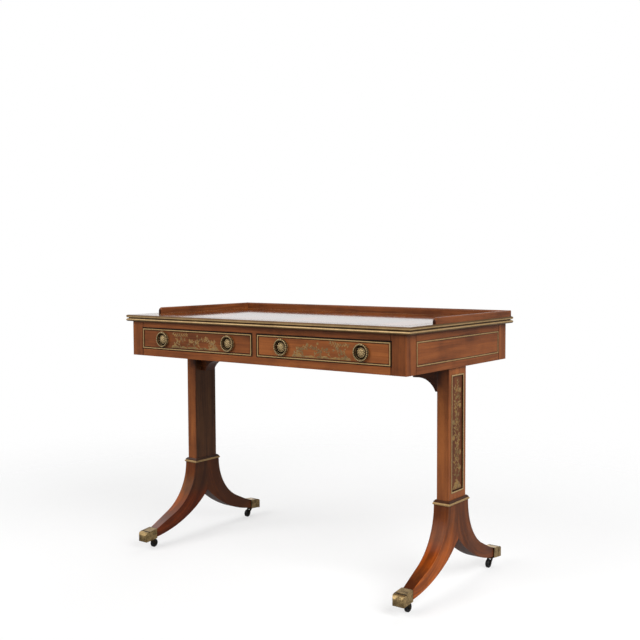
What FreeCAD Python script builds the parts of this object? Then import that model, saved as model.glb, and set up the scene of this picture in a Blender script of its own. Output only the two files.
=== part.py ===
"""Library table with two drawers, a low gallery and two sabre-legged trestle ends on casters.

Millimetres. X runs along the width, Y from the front (negative) to the back, Z up from the floor.
The origin is on the floor under the middle of the top.
"""
import FreeCAD, Part
import math
import os
import Sketcher

# Driving dimensions: name, value, what it measures.
SIZES = (
    ("top_width", 1067.0, "top, left to right over the edge beads"),
    ("top_depth", 584.0, "top, front to back over the edge beads"),
    ("table_height", 762.0, "floor to the writing surface"),
    ("top_thickness", 20.0, "whole thickness of the top"),
    ("veneer_thickness", 1.0, "field veneer and border boards"),
    ("bead_radius", 4.4, "half round of each edge bead"),
    ("bead_back", 1.6, "straight part of an edge bead behind its half round"),
    ("mitre_gap", 0.1, "hair gap at the mitres of the edge beads"),
    ("line_side_margin", 53.0, "top edge to the brass line, at the sides"),
    ("line_front_margin", 53.0, "top edge to the brass line, at the front"),
    ("line_back_margin", 68.0, "top edge to the brass line, at the back"),
    ("line_width", 2.2, "brass line of the top"),
    ("line_corner", 18.0, "concave corner of the brass line"),
    ("gallery_height", 18.0, "gallery above the top"),
    ("gallery_thickness", 11.0, "gallery rail"),
    ("gallery_inset", 5.0, "top edge to the outside of the gallery"),
    ("gallery_setback", 134.0, "front edge of the top to the gallery ends"),
    ("gallery_end", 12.0, "rounding of the gallery's front ends"),
    ("gallery_arris", 4.6, "rounding along the gallery's top edges"),
    ("side_overhang", 18.5, "top beyond the frieze, at the sides"),
    ("front_overhang", 12.0, "top beyond the frieze, front and back"),
    ("frieze_height", 108.0, "frieze under the top"),
    ("post_size", 47.0, "corner post, square"),
    ("arris", 1.6, "rounding of posts and columns"),
    ("joint_line", 1.0, "open joint line beside the posts"),
    ("tenon_length", 14.0, "tenons into the posts"),
    ("tenon_thickness", 8.0, "tenons of rails and aprons"),
    ("tenon_shoulder", 4.0, "shoulder above and below a tenon"),
    ("rail_depth", 40.0, "front rails, front to back"),
    ("top_rail_height", 20.5, "rail above the drawers"),
    ("bottom_rail_height", 23.0, "rail below the drawers"),
    ("divider_width", 20.0, "upright between the drawers"),
    ("apron_thickness", 18.0, "side and back aprons"),
    ("back_recess", 2.0, "back apron behind the faces of the posts"),
    ("inlay_end_margin", 3.0, "post to the brass line of a side apron"),
    ("inlay_top_margin", 22.0, "top of a side apron to its brass line"),
    ("inlay_bottom_margin", 21.0, "bottom of a side apron to its brass line"),
    ("inlay_width", 3.0, "brass line of a side apron"),
    ("inlay_depth", 2.0, "depth of the side brass line"),
    ("inlay_stand", 0.4, "side brass line proud of the wood"),
    ("runner_width", 125.0, "side runner, which is also the bearer of a trestle"),
    ("centre_runner_width", 64.0, "runner between the drawers"),
    ("guide_clearance", 1.0, "guide tongue narrower than the divider, each side"),
    ("guide_height", 22.0, "guide tongue above the runner"),
    ("kicker_height", 18.0, "kickers under the top"),
    ("kicker_width", 34.0, "side kicker"),
    ("screw_radius", 2.0, "screws of the top"),
    ("screw_head_radius", 4.0, "heads of the screws"),
    ("screw_head_height", 2.4, "heads of the screws"),
    ("screw_bite", 13.0, "screws into the top"),
    ("screw_setback", 70.0, "rear end of a kicker to its screws, and front"),
    ("drawer_gap", 1.0, "gap round a drawer front"),
    ("drawer_lift", 0.5, "drawer sides above the runners"),
    ("front_thickness", 18.0, "drawer front"),
    ("drawer_length", 470.0, "drawer, front face to back end"),
    ("drawer_side_height", 50.0, "drawer side"),
    ("drawer_side_thickness", 10.0, "drawer side"),
    ("drawer_back_thickness", 9.0, "drawer back"),
    ("drawer_back_inset", 12.0, "drawer back in from the ends of the sides"),
    ("drawer_bottom_thickness", 4.0, "drawer bottom"),
    ("drawer_bottom_rise", 8.0, "drawer bottom above the lower edge of the sides"),
    ("groove_depth", 4.0, "grooves that hold the drawer bottom"),
    ("tail_length", 12.0, "dovetails of the sides into the front"),
    ("tail_gap", 3.3, "half of the pin between two dovetails"),
    ("tail_splay", 2.0, "dovetail wider at its end, each edge"),
    ("cockbead_width", 4.0, "brass bead round a drawer front"),
    ("cockbead_depth", 5.0, "brass bead, front to back"),
    ("cockbead_stand", 1.5, "brass bead proud of the drawer front"),
    ("stop_length", 24.0, "drawer stop, left to right"),
    ("stop_depth", 12.0, "drawer stop, front to back"),
    ("stop_height", 5.0, "drawer stop above the rail"),
    ("stop_half_width", 100.0, "half the width between the stops of a drawer"),
    ("stop_clearance", 0.3, "drawer front to its stop"),
    ("pull_half_width", 137.0, "half the width between the pulls of a drawer"),
    ("plate_radius", 22.0, "backplate of a pull"),
    ("plate_thickness", 2.4, "backplate of a pull"),
    ("plate_rim", 0.8, "bevels of a backplate"),
    ("plate_well_radius", 17.0, "sunk ring of a backplate, outside"),
    ("plate_well_depth", 1.0, "sunk ring of a backplate"),
    ("rosette_radius", 11.5, "rosette of a pull"),
    ("rosette_height", 4.2, "rosette above the backplate"),
    ("ring_radius", 21.5, "pull ring to the middle of its wire"),
    ("ring_wire", 2.6, "pull ring, radius of the wire"),
    ("ring_stand", 6.2, "middle of the ring's wire from the drawer front"),
    ("knuckle_radius", 3.2, "knuckle that holds the ring"),
    ("knuckle_length", 7.0, "knuckle, left to right"),
    ("knuckle_post", 4.4, "post of the knuckle, height"),
    ("ring_pin_radius", 1.3, "pins of the ring in the knuckle"),
    ("ring_pin_length", 2.4, "each pin of the ring"),
    ("ring_end_gap", 0.3, "knuckle to the cut ends of the ring"),
    ("fit_clearance", 0.05, "running fits, on the radius"),
    ("bolt_radius", 2.0, "bolt of a pull"),
    ("bolt_clearance", 0.2, "bolt in its hole, on the radius"),
    ("nut_radius", 4.6, "nut of a pull, over its corners"),
    ("nut_height", 3.2, "nut of a pull"),
    ("bolt_end", 2.0, "bolt beyond its nut"),
    ("column_setback", 8.0, "column's outer face behind the frieze"),
    ("column_thickness", 38.0, "trestle column, left to right"),
    ("column_width", 97.0, "trestle column, front to back"),
    ("column_tenon_inset", 3.0, "head tenon in from its runner's edge and the column's face"),
    ("column_tenon_width", 70.0, "head tenon, front to back"),
    ("column_tenon_height", 15.0, "head tenon into the runner"),
    ("foot_tenon_thickness", 16.0, "foot tenon, left to right"),
    ("foot_tenon_width", 60.0, "foot tenon, front to back"),
    ("foot_tenon_depth", 48.0, "foot tenon into the legs"),
    ("panel_side_margin", 13.5, "column edge to its brass frame"),
    ("panel_top_margin", 20.0, "frieze to the brass frame of the column"),
    ("panel_bottom_margin", 18.0, "column moulding to the brass frame of the column"),
    ("panel_recess", 2.0, "column panel behind the face"),
    ("panel_frame_width", 5.0, "brass frame of the column"),
    ("panel_frame_stand", 1.2, "brass frame proud of the face"),
    ("bracket_length", 95.0, "bracket under the frieze, from the column"),
    ("bracket_height", 72.0, "bracket down the column"),
    ("bracket_nose", 36.0, "bracket's outer end"),
    ("bracket_lip", 12.0, "flat of the bracket behind its outer end"),
    ("bracket_foot", 21.0, "flat of the bracket at the column"),
    ("bracket_arc", 58.0, "hollow of the bracket"),
    ("bracket_width", 44.0, "bracket, front to back"),
    ("moulding_height", 6.5, "wood moulding at the foot of the column"),
    ("moulding_width", 6.5, "wood moulding beyond the column"),
    ("moulding_slope", 4.0, "splay of the wood moulding"),
    ("collar_height", 7.0, "brass collar under the moulding"),
    ("collar_stand", 3.0, "brass collar beyond the legs"),
    ("collar_round", 3.0, "rounded edge of the brass collar"),
    ("base_height", 249.5, "floor to the top of the legs"),
    ("block_thickness", 47.0, "legs at the column, left to right"),
    ("block_width", 112.0, "both legs at the column, front to back"),
    ("leg_arc", 168.0, "upper sweep of a leg"),
    ("leg_turn", 64.75, "degrees that the upper sweep turns through"),
    ("crotch_height", 148.0, "floor to where the legs part"),
    ("leg_under_arc", 400.0, "lower sweep of a leg"),
    ("toe_joint", 231.0, "middle of the trestle to the toe caps"),
    ("toe_under", 35.0, "floor to the underside of a leg at its toe cap"),
    ("toe_thickness", 30.0, "leg at its toe cap, left to right"),
    ("toe_tip", 281.0, "middle of the trestle to the nose of a toe cap"),
    ("cap_bottom", 27.0, "floor to the underside of a toe cap at its nose"),
    ("cap_fall", 4.0, "fall of a toe cap's top from its joint to its nose"),
    ("cap_stand", 3.0, "toe cap proud of the leg"),
    ("cap_nose", 14.0, "rounded part of a toe cap, front to back"),
    ("cap_nose_drop", 12.0, "rounded part of a toe cap, height"),
    ("cap_nose_arc", 17.0, "rounding of the nose"),
    ("cap_chin", 4.0, "rounding under the nose"),
    ("cap_corner", 6.0, "rounding of the nose, seen from above"),
    ("cap_line", 2.4, "incised line across a toe cap"),
    ("cap_line_setback", 1.5, "incised line behind the nose"),
    ("cap_wall", 5.0, "toe cap round the end of the leg"),
    ("cap_nose_wall", 13.0, "toe cap in front of the end of the leg"),
    ("dowel_radius", 5.0, "dowels between the legs"),
    ("dowel_length", 50.0, "dowels between the legs"),
    ("dowel_half_width", 12.0, "half the width between the dowels"),
    ("dowel_height", 176.0, "floor to the dowels"),
    ("wheel_radius", 13.0, "caster wheel"),
    ("wheel_width", 10.0, "caster wheel at its hub"),
    ("wheel_tread", 6.4, "flat of the tread"),
    ("wheel_shoulder", 1.6, "bevel of the tread"),
    ("wheel_hub", 4.4, "radius of the hub"),
    ("wheel_web_inset", 1.2, "web of the wheel in from its hub faces"),
    ("axle_radius", 1.8, "caster axle"),
    ("axle_end", 0.8, "axle beyond its fork"),
    ("fork_plate", 1.8, "cheeks of a fork"),
    ("fork_clearance", 0.5, "wheel to the cheeks"),
    ("fork_eye", 4.2, "rounded end of a cheek"),
    ("fork_root", 6.0, "cheek at the crown, before and behind the stem"),
    ("crown_radius", 9.5, "crown of a fork"),
    ("crown_thickness", 2.5, "crown of a fork"),
    ("crown_clearance", 0.5, "crown under the toe cap"),
    ("caster_trail", 12.0, "stem to axle"),
    ("stem_setback", 10.0, "toe cap joint to the caster stem"),
    ("stem_radius", 3.6, "caster stem"),
    ("stem_length", 16.0, "caster stem above its crown"),
    ("stem_clearance", 0.6, "stem in the leg, on the radius and at its end"),
)

doc = FreeCAD.newDocument("library_table")
sheet = doc.addObject("Spreadsheet::Sheet", "Sizes")


class Size:
    """A dimension that holds its number and the sheet formula that gives it."""

    def __init__(self, text, value):
        self.text = text
        self.value = value

    @staticmethod
    def of(thing):
        if isinstance(thing, Size):
            return thing
        return Size(repr(float(thing)), float(thing))

    def join(self, sign, other, value):
        return Size(f"({self.text} {sign} {other.text})", value)

    def __add__(self, other):
        other = Size.of(other)
        return self.join("+", other, self.value + other.value)

    def __radd__(self, other):
        return Size.of(other) + self

    def __sub__(self, other):
        other = Size.of(other)
        return self.join("-", other, self.value - other.value)

    def __rsub__(self, other):
        return Size.of(other) - self

    def __mul__(self, other):
        other = Size.of(other)
        return self.join("*", other, self.value * other.value)

    def __rmul__(self, other):
        return Size.of(other) * self

    def __truediv__(self, other):
        other = Size.of(other)
        return self.join("/", other, self.value / other.value)

    def __neg__(self):
        return self * -1


def root_of(size):
    """Square root of a size."""
    return Size(f"sqrt({size.text})", math.sqrt(size.value))


def sine(degrees):
    """Sine of an angle held in degrees."""
    return Size(f"sin({degrees.text})", math.sin(math.radians(degrees.value)))


def cosine(degrees):
    """Cosine of an angle held in degrees."""
    return Size(f"cos({degrees.text})", math.cos(math.radians(degrees.value)))


class Sheet:
    """The driving dimensions, each an attribute that is a Size."""

    def __init__(self, rows):
        for number, (alias, value, note) in enumerate(rows, start=1):
            sheet.set(f"A{number}", alias)
            sheet.set(f"B{number}", str(value))
            sheet.setAlias(f"B{number}", alias)
            sheet.set(f"C{number}", note)
            setattr(self, alias, Size(f"Sizes.{alias}", value))


s = Sheet(SIZES)
doc.recompute()
zero = Size.of(0)
nodes = {}

# Places that several pieces share.
bead_depth = s.bead_back + s.bead_radius
core_x = s.top_width / 2 - bead_depth
core_y = s.top_depth / 2 - bead_depth
frieze_x = s.top_width / 2 - s.side_overhang
frieze_y = s.top_depth / 2 - s.front_overhang
frieze_top = s.table_height - s.top_thickness
frieze_bottom = frieze_top - s.frieze_height
post_x = frieze_x - s.post_size
post_y = frieze_y - s.post_size
drawer_floor = frieze_bottom + s.bottom_rail_height
drawer_ceiling = frieze_top - s.top_rail_height
rail_back = -frieze_y + s.rail_depth
back_front = frieze_y - s.back_recess - s.apron_thickness
apron_inside = frieze_x - s.apron_thickness
divider_half = s.divider_width / 2
column_face = frieze_x - s.column_setback
trestle_x = column_face - s.column_thickness / 2
moulding_bottom = s.base_height + s.collar_height
moulding_top = moulding_bottom + s.moulding_height
leg_front = s.block_width / 2
SIDES = (("left", -1), ("right", 1))
ENDS = (("front", -1), ("back", 1))
TAILS = 3
TOLERANCE = 1e-6


def bind(thing, path, size):
    """Tie a property to the sheet."""
    thing.setExpression(path, Size.of(size).text)


def place(thing, corner, turn=0):
    """Put a piece at a point, turned about the vertical."""
    thing.Placement.Rotation = FreeCAD.Rotation(FreeCAD.Vector(0, 0, 1), turn)
    for axis, size in zip("xyz", corner):
        bind(thing, f"Placement.Base.{axis}", size)
    return thing


def spread(side, near, far):
    """Low and high ends of a stretch that lies between two distances on one side of the middle."""
    return (near, far) if side > 0 else (-far, -near)


def block(name, xs, ys, zs):
    """A rectangular piece between low and high ends on each axis."""
    piece = doc.addObject("Part::Box", name)
    for path, (low, high) in zip(("Length", "Width", "Height"), (xs, ys, zs)):
        bind(piece, path, high - low)
    return place(piece, (xs[0], ys[0], zs[0]))


def rod(name, base, radius, length, along="z"):
    """A round bar that starts at a point and runs along one axis."""
    piece = doc.addObject("Part::Cylinder", name)
    bind(piece, "Radius", radius)
    bind(piece, "Height", length)
    place(piece, base)
    tilt = {"x": ((0, 1, 0), 90), "y": ((1, 0, 0), -90), "z": ((0, 0, 1), 0)}[along]
    piece.Placement.Rotation = FreeCAD.Rotation(FreeCAD.Vector(*tilt[0]), tilt[1])
    return piece


def fuse(name, *pieces):
    """Several shapes as one solid."""
    whole = doc.addObject("Part::MultiFuse", name)
    whole.Shapes = list(pieces)
    whole.Refine = True
    return whole


def cut(name, base, *tools):
    """A shape less one or more others."""
    rest = doc.addObject("Part::Cut", name)
    rest.Base = base
    rest.Tool = tools[0] if len(tools) == 1 else group(f"{name}_cutters", *tools)
    return rest


def group(name, *pieces):
    """Separate solids kept together under one name."""
    together = doc.addObject("Part::Compound", name)
    together.Links = list(pieces)
    return together


def node(name, piece):
    """Hand in a piece under its own name."""
    piece.Label = name
    nodes[name] = piece
    return piece


class Outline:
    """A sketch on one of a body's origin planes, made of closed rings of lines and arcs."""

    def __init__(self, owner, name, plane):
        self.sketch = owner.newObject("Sketcher::SketchObject", name)
        features = owner.Origin.OriginFeatures
        support = next(f for f in features if f.Role == f"{plane}_Plane")
        self.sketch.AttachmentSupport = [(support, "")]
        self.sketch.MapMode = "FlatFace"

    def ring(self, corners, arcs=None):
        """Close a ring through the corners.

        Each corner is a pair of sizes. An arc is given by the number of the edge that it replaces,
        as its radius and the side of the walk that it bulges to: 1 is left, -1 is right.
        """
        arcs = arcs or {}
        points = [FreeCAD.Vector(Size.of(u).value, Size.of(v).value, 0) for u, v in corners]
        ends = []
        for number, start in enumerate(points):
            stop = points[(number + 1) % len(points)]
            ends.append(self.edge(start, stop, arcs.get(number)))
        for number, (first, last) in enumerate(ends):
            following = ends[(number + 1) % len(ends)][0]
            self.sketch.addConstraint(Sketcher.Constraint("Coincident", *last, *following))
            for kind, size in zip(("DistanceX", "DistanceY"), corners[number]):
                size = Size.of(size)
                rule = Sketcher.Constraint(kind, -1, 1, *first, size.value)
                self.hold(rule, size)
        for number, (radius, side) in arcs.items():
            radius = Size.of(radius)
            self.hold(Sketcher.Constraint("Radius", ends[number][0][0], radius.value), radius)
        return self

    def hold(self, rule, size):
        """Add a dimension and tie it to the sheet."""
        index = self.sketch.addConstraint(rule)
        bind(self.sketch, f"Constraints[{index}]", size)

    def edge(self, start, stop, arc):
        """Add one line or arc, and return the sketch's names for its two ends."""
        if arc is None:
            number = self.sketch.addGeometry(Part.LineSegment(start, stop))
            return (number, 1), (number, 2)
        radius, side = Size.of(arc[0]).value, arc[1]
        chord = stop - start
        rise = radius - math.sqrt(radius ** 2 - chord.Length ** 2 / 4)
        left = FreeCAD.Vector(-chord.y, chord.x, 0).normalize()
        middle = (start + stop) / 2 + left * side * rise
        number = self.sketch.addGeometry(Part.Arc(start, middle, stop))
        if self.sketch.getPoint(number, 1).isEqual(start, TOLERANCE):
            return (number, 1), (number, 2)
        return (number, 2), (number, 1)


def rectangle(xs, ys):
    """Corners of a rectangle, walked anticlockwise."""
    return [(xs[0], ys[0]), (xs[1], ys[0]), (xs[1], ys[1]), (xs[0], ys[1])]


def soft_rectangle(xs, ys, radius):
    """Corners and arcs of a rectangle with rounded corners, walked anticlockwise."""
    (left, right), (low, high) = xs, ys
    corners = [(left + radius, low), (right - radius, low), (right, low + radius), (right, high - radius),
               (right - radius, high), (left + radius, high), (left, high - radius), (left, low + radius)]
    return corners, {number: (radius, -1) for number in (1, 3, 5, 7)}


def new_body(name):
    """An empty body."""
    return doc.addObject("PartDesign::Body", name)


def pad(owner, name, outline, length, middle=False):
    """Thicken a sketch into solid wood or metal."""
    feature = owner.newObject("PartDesign::Pad", name)
    feature.Profile = outline.sketch
    feature.Midplane = middle
    bind(feature, "Length", length)
    return feature


def pocket(owner, name, outline):
    """Cut a sketch's shape right through, both ways."""
    feature = owner.newObject("PartDesign::Pocket", name)
    feature.Profile = outline.sketch
    feature.Type = "ThroughAll"
    feature.Midplane = True
    return feature


def soften(owner, name, kind, feature, chosen, size):
    """Round or bevel the edges of a feature that a test picks out."""
    doc.recompute()
    names = [f"Edge{i}" for i, edge in enumerate(feature.Shape.Edges, start=1) if chosen(edge)]
    dressing = owner.newObject(f"PartDesign::{kind}", name)
    dressing.Base = (feature, names)
    bind(dressing, "Radius" if kind == "Fillet" else "Size", size)
    return dressing


def plate(name, corners, thickness, corner, arcs=None):
    """A flat piece of a drawn outline, lying level."""
    owner = new_body(name)
    outline = Outline(owner, f"{name}_outline", "XY").ring(corners, arcs)
    pad(owner, f"{name}_board", outline, thickness)
    return place(owner, corner)


def frame_box(name, xs, ys, zs, width, axis):
    """A rectangular frame of one width that lies square to an axis."""
    inner = []
    for number, (low, high) in enumerate((xs, ys, zs)):
        inner.append((low, high) if number == axis else (low + width, high - width))
    return cut(name, block(f"{name}_outside", xs, ys, zs), block(f"{name}_inside", *inner))


def top_board():
    """The core, the figured field, its border, its brass line and the edge beads."""
    core_top = s.table_height - s.veneer_thickness
    line_x = s.top_width / 2 - s.line_side_margin
    line_front = -s.top_depth / 2 + s.line_front_margin
    line_back = s.top_depth / 2 - s.line_back_margin
    level = (zero, zero, core_top)

    # The border is four mitred boards, from the beads to the brass line.
    outside = rectangle((-core_x, core_x), (-core_y, core_y))
    inside = rectangle((-line_x, line_x), (line_front, line_back))
    boards = []
    for number in range(4):
        following = (number + 1) % 4
        corners = [outside[number], outside[following], inside[following], inside[number]]
        boards.append(plate(f"border_{number}", corners, s.veneer_thickness, level))
    node("top_border", group("border", *boards))

    # The brass line turns each corner in a quarter round that is hollow towards the border.
    line = new_body("line")
    outline = Outline(line, "line_outline", "XY")
    reach = s.line_corner + s.line_width
    step_in = root_of(reach * reach - s.line_width * s.line_width)
    for width, corner, radius in ((zero, s.line_corner, s.line_corner), (s.line_width, step_in, reach)):
        left, right = -line_x + width, line_x - width
        low, high = line_front + width, line_back - width
        start_x, stop_x = -line_x + corner, line_x - corner
        start_y, stop_y = line_front + corner, line_back - corner
        corners = [(start_x, low), (stop_x, low), (right, start_y), (right, stop_y),
                   (stop_x, high), (start_x, high), (left, stop_y), (left, start_y)]
        outline.ring(corners, {number: (radius, 1) for number in (1, 3, 5, 7)})
    pad(line, "line_strip", outline, s.veneer_thickness)
    node("top_stringing", place(line, level))

    field = block("field", (-line_x, line_x), (line_front, line_back), (core_top, s.table_height))
    node("top_veneer", cut("top_veneer", field, line))

    beads = []
    lines = (("upper", s.table_height - s.bead_radius), ("lower", frieze_top + s.bead_radius))
    for row, height in lines:
        for number in range(4):
            across = s.top_width if number % 2 == 0 else s.top_depth
            away = core_y if number % 2 == 0 else core_x
            foot = ((zero, -away), (away, zero), (zero, away), (-away, zero))[number]
            bead = edge_bead(f"{row}_bead_{number}", across)
            beads.append(place(bead, (*foot, height), 90 * number))
    node("edge_beads", group("beads", *beads))
    return block("core", (-core_x, core_x), (-core_y, core_y), (frieze_top, core_top))


def edge_bead(name, length):
    """One length of half-round beading, mitred at both ends, with its back on the XZ plane."""
    bead = new_body(name)
    back, radius = s.bead_back, s.bead_radius
    corners = [(zero, -radius), (zero, radius), (-back, radius), (-back - radius, zero), (-back, -radius)]
    profile = Outline(bead, f"{name}_profile", "YZ").ring(corners, {2: (radius, -1), 3: (radius, -1)})
    pad(bead, f"{name}_strip", profile, length, middle=True)
    mitre = Outline(bead, f"{name}_mitres", "XY")
    spare = s.bead_radius
    for side in (-1, 1):
        tip = length / 2 - s.mitre_gap
        outer = (side * (tip + spare), -bead_depth - spare)
        inner = (side * (tip - bead_depth - spare), spare)
        mitre.ring([outer, inner, (side * (tip + spare), spare)])
    pocket(bead, f"{name}_ends", mitre)
    return bead


def gallery():
    """The back rail and the two side rails, with rounded tops and front ends."""
    outside_x = s.top_width / 2 - s.gallery_inset
    back_face = s.top_depth / 2 - s.gallery_inset
    back_inside = back_face - s.gallery_thickness
    crest = s.gallery_height

    def along_top(direction):
        """Choose the level top edges that run one way."""
        def test(edge):
            low = edge.BoundBox.ZMin
            run = edge.BoundBox.XLength if direction == "x" else edge.BoundBox.YLength
            return low > crest.value - TOLERANCE and run > s.gallery_end.value
        return test

    rail = new_body("back_rail")
    shape = Outline(rail, "back_rail_profile", "YZ")
    shape.ring(rectangle((-s.gallery_thickness, zero), (zero, crest)))
    board = pad(rail, "back_rail_board", shape, 2 * outside_x, middle=True)
    soften(rail, "back_rail_crest", "Fillet", board, along_top("x"), s.gallery_arris)
    node("gallery_back", place(rail, (zero, back_face, s.table_height)))

    rails = []
    front = -s.top_depth / 2 + s.gallery_setback
    for side_name, side in SIDES:
        rail = new_body(f"{side_name}_rail")
        corners = [(zero, zero), (back_inside - front, zero), (back_inside - front, crest),
                   (s.gallery_end, crest), (zero, crest - s.gallery_end)]
        shape = Outline(rail, f"{side_name}_rail_side", "YZ").ring(corners, {3: (s.gallery_end, -1)})
        board = pad(rail, f"{side_name}_rail_board", shape, s.gallery_thickness, middle=True)
        soften(rail, f"{side_name}_rail_crest", "Fillet", board, along_top("y"), s.gallery_arris)
        middle = side * (outside_x - s.gallery_thickness / 2)
        rails.append(place(rail, (middle, front, s.table_height)))
    node("gallery_sides", group("side_rails", *rails))


def frieze():
    """Posts, rails, divider and aprons, tenoned together."""
    shoulder = s.tenon_shoulder
    front = (-frieze_y, rail_back)
    board_x = (-post_x + s.joint_line, post_x - s.joint_line)
    tenon_x = (-post_x - s.tenon_length, post_x + s.tenon_length)
    rail_middle = -frieze_y + s.rail_depth / 2
    rail_tenon_y = (rail_middle - s.tenon_thickness / 2, rail_middle + s.tenon_thickness / 2)

    # The divider is the height of the opening, with stub tenons into both rails.
    stub = s.tenon_thickness
    divider = fuse(
        "divider",
        block("divider_board", (-divider_half, divider_half), front, (drawer_floor, drawer_ceiling)),
        block("divider_tenon", (-divider_half + shoulder, divider_half - shoulder), rail_tenon_y,
              (drawer_floor - stub, drawer_ceiling + stub)))
    node("drawer_divider", divider)

    rails = []
    for name, low, high in (("front_top_rail", drawer_ceiling, frieze_top),
                            ("front_bottom_rail", frieze_bottom, drawer_floor)):
        board = block(f"{name}_board", board_x, front, (low, high))
        tenon = block(f"{name}_tenon", tenon_x, rail_tenon_y, (low + shoulder, high - shoulder))
        rails.append(cut(name, fuse(f"{name}_whole", board, tenon), divider))
        node(name, rails[-1])

    back_y = (back_front, back_front + s.apron_thickness)
    back_middle = back_front + s.apron_thickness / 2
    back = fuse(
        "back_board",
        block("back_panel", board_x, back_y, (frieze_bottom, frieze_top)),
        block("back_tenon", tenon_x, (back_middle - s.tenon_thickness / 2, back_middle + s.tenon_thickness / 2),
              (frieze_bottom + shoulder, frieze_top - shoulder)))
    node("back_apron", back)

    aprons = {}
    lines = []
    for side_name, side in SIDES:
        middle = frieze_x - s.apron_thickness / 2
        board = fuse(
            f"{side_name}_apron_whole",
            block(f"{side_name}_apron_board", spread(side, apron_inside, frieze_x),
                  (-post_y + s.joint_line, post_y - s.joint_line), (frieze_bottom, frieze_top)),
            block(f"{side_name}_apron_tenon",
                  spread(side, middle - s.tenon_thickness / 2, middle + s.tenon_thickness / 2),
                  (-post_y - s.tenon_length, post_y + s.tenon_length),
                  (frieze_bottom + shoulder, frieze_top - shoulder)))
        inlay = frame_box(
            f"{side_name}_inlay",
            spread(side, frieze_x + s.inlay_stand - s.inlay_depth, frieze_x + s.inlay_stand),
            (-post_y + s.inlay_end_margin, post_y - s.inlay_end_margin),
            (frieze_bottom + s.inlay_bottom_margin, frieze_top - s.inlay_top_margin), s.inlay_width, 0)
        lines.append(inlay)
        aprons[side] = node(f"{side_name}_apron", cut(f"{side_name}_apron", board, inlay))
    node("apron_stringing", group("inlays", *lines))

    # Each post is mortised for whatever is tenoned into it.
    bars = {}
    for end_name, end in ENDS:
        posts = []
        for side_name, side in SIDES:
            name = f"{end_name}_{side_name}_post"
            bar = new_body(f"{name}_bar")
            corners, arcs = soft_rectangle(spread(side, post_x, frieze_x), spread(end, post_y, frieze_y), s.arris)
            outline = Outline(bar, f"{name}_section", "XY").ring(corners, arcs)
            pad(bar, f"{name}_length", outline, s.frieze_height)
            bars[end, side] = place(bar, (zero, zero, frieze_bottom))
            joined = (*rails, aprons[side]) if end < 0 else (back, aprons[side])
            posts.append(cut(name, bar, *joined))
        node(f"{end_name}_posts", group(f"{end_name}_pair", *posts))
    return bars


def drawer_supports(posts, columns):
    """Runners, kickers, stops and the screws of the top."""
    ys = (rail_back, back_front)
    floor = (frieze_bottom, drawer_floor)
    runners = []
    for side_name, side in SIDES:
        board = block(f"{side_name}_runner_board", spread(side, apron_inside - s.runner_width, apron_inside),
                      ys, floor)
        runners.append(cut(f"{side_name}_runner", board, posts[-1, side], posts[1, side], columns[side]))
    node("side_runners", group("runners", *runners))

    guide_half = divider_half - s.guide_clearance
    middle = fuse(
        "middle_runner",
        block("middle_board", (-s.centre_runner_width / 2, s.centre_runner_width / 2), ys, floor),
        block("middle_guide", (-guide_half, guide_half), ys, (drawer_floor, drawer_floor + s.guide_height)))
    node("centre_runner", middle)

    underside = frieze_top - s.kicker_height
    shanks, screws, kickers = [], [], []
    bars = (("left", (-post_x, -post_x + s.kicker_width)), ("right", (post_x - s.kicker_width, post_x)),
            ("middle", (-s.centre_runner_width / 2, s.centre_runner_width / 2)))
    for name, xs in bars:
        holes = []
        for place_name, y in (("front", ys[0] + s.screw_setback), ("back", ys[1] - s.screw_setback)):
            foot = ((xs[0] + xs[1]) / 2, y, underside)
            depth = s.kicker_height + s.screw_bite
            shank = rod(f"{name}_{place_name}_shank", foot, s.screw_radius, depth)
            head_foot = (foot[0], foot[1], underside - s.screw_head_height)
            head = rod(f"{name}_{place_name}_head", head_foot, s.screw_head_radius, s.screw_head_height)
            screws.append(fuse(f"{name}_{place_name}_screw", shank, head))
            holes.append(shank)
        shanks += holes
        board = block(f"{name}_kicker_board", xs, ys, (underside, frieze_top))
        kickers.append(cut(f"{name}_kicker", board, *holes))
    node("kickers", group("kicker_set", *kickers))
    node("top_screws", group("screw_set", *screws))

    stops = []
    front = -frieze_y + s.front_thickness + s.stop_clearance
    for side_name, side in SIDES:
        for number, offset in enumerate((-s.stop_half_width, s.stop_half_width)):
            middle = side * drawer_middle() + offset
            xs = (middle - s.stop_length / 2, middle + s.stop_length / 2)
            stops.append(block(f"{side_name}_stop_{number}", xs, (front, front + s.stop_depth),
                               (drawer_floor, drawer_floor + s.stop_height)))
    node("drawer_stops", group("stop_set", *stops))
    return shanks


def drawer_middle():
    """Distance of a drawer's middle from the middle of the table."""
    return (divider_half + post_x) / 2


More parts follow.
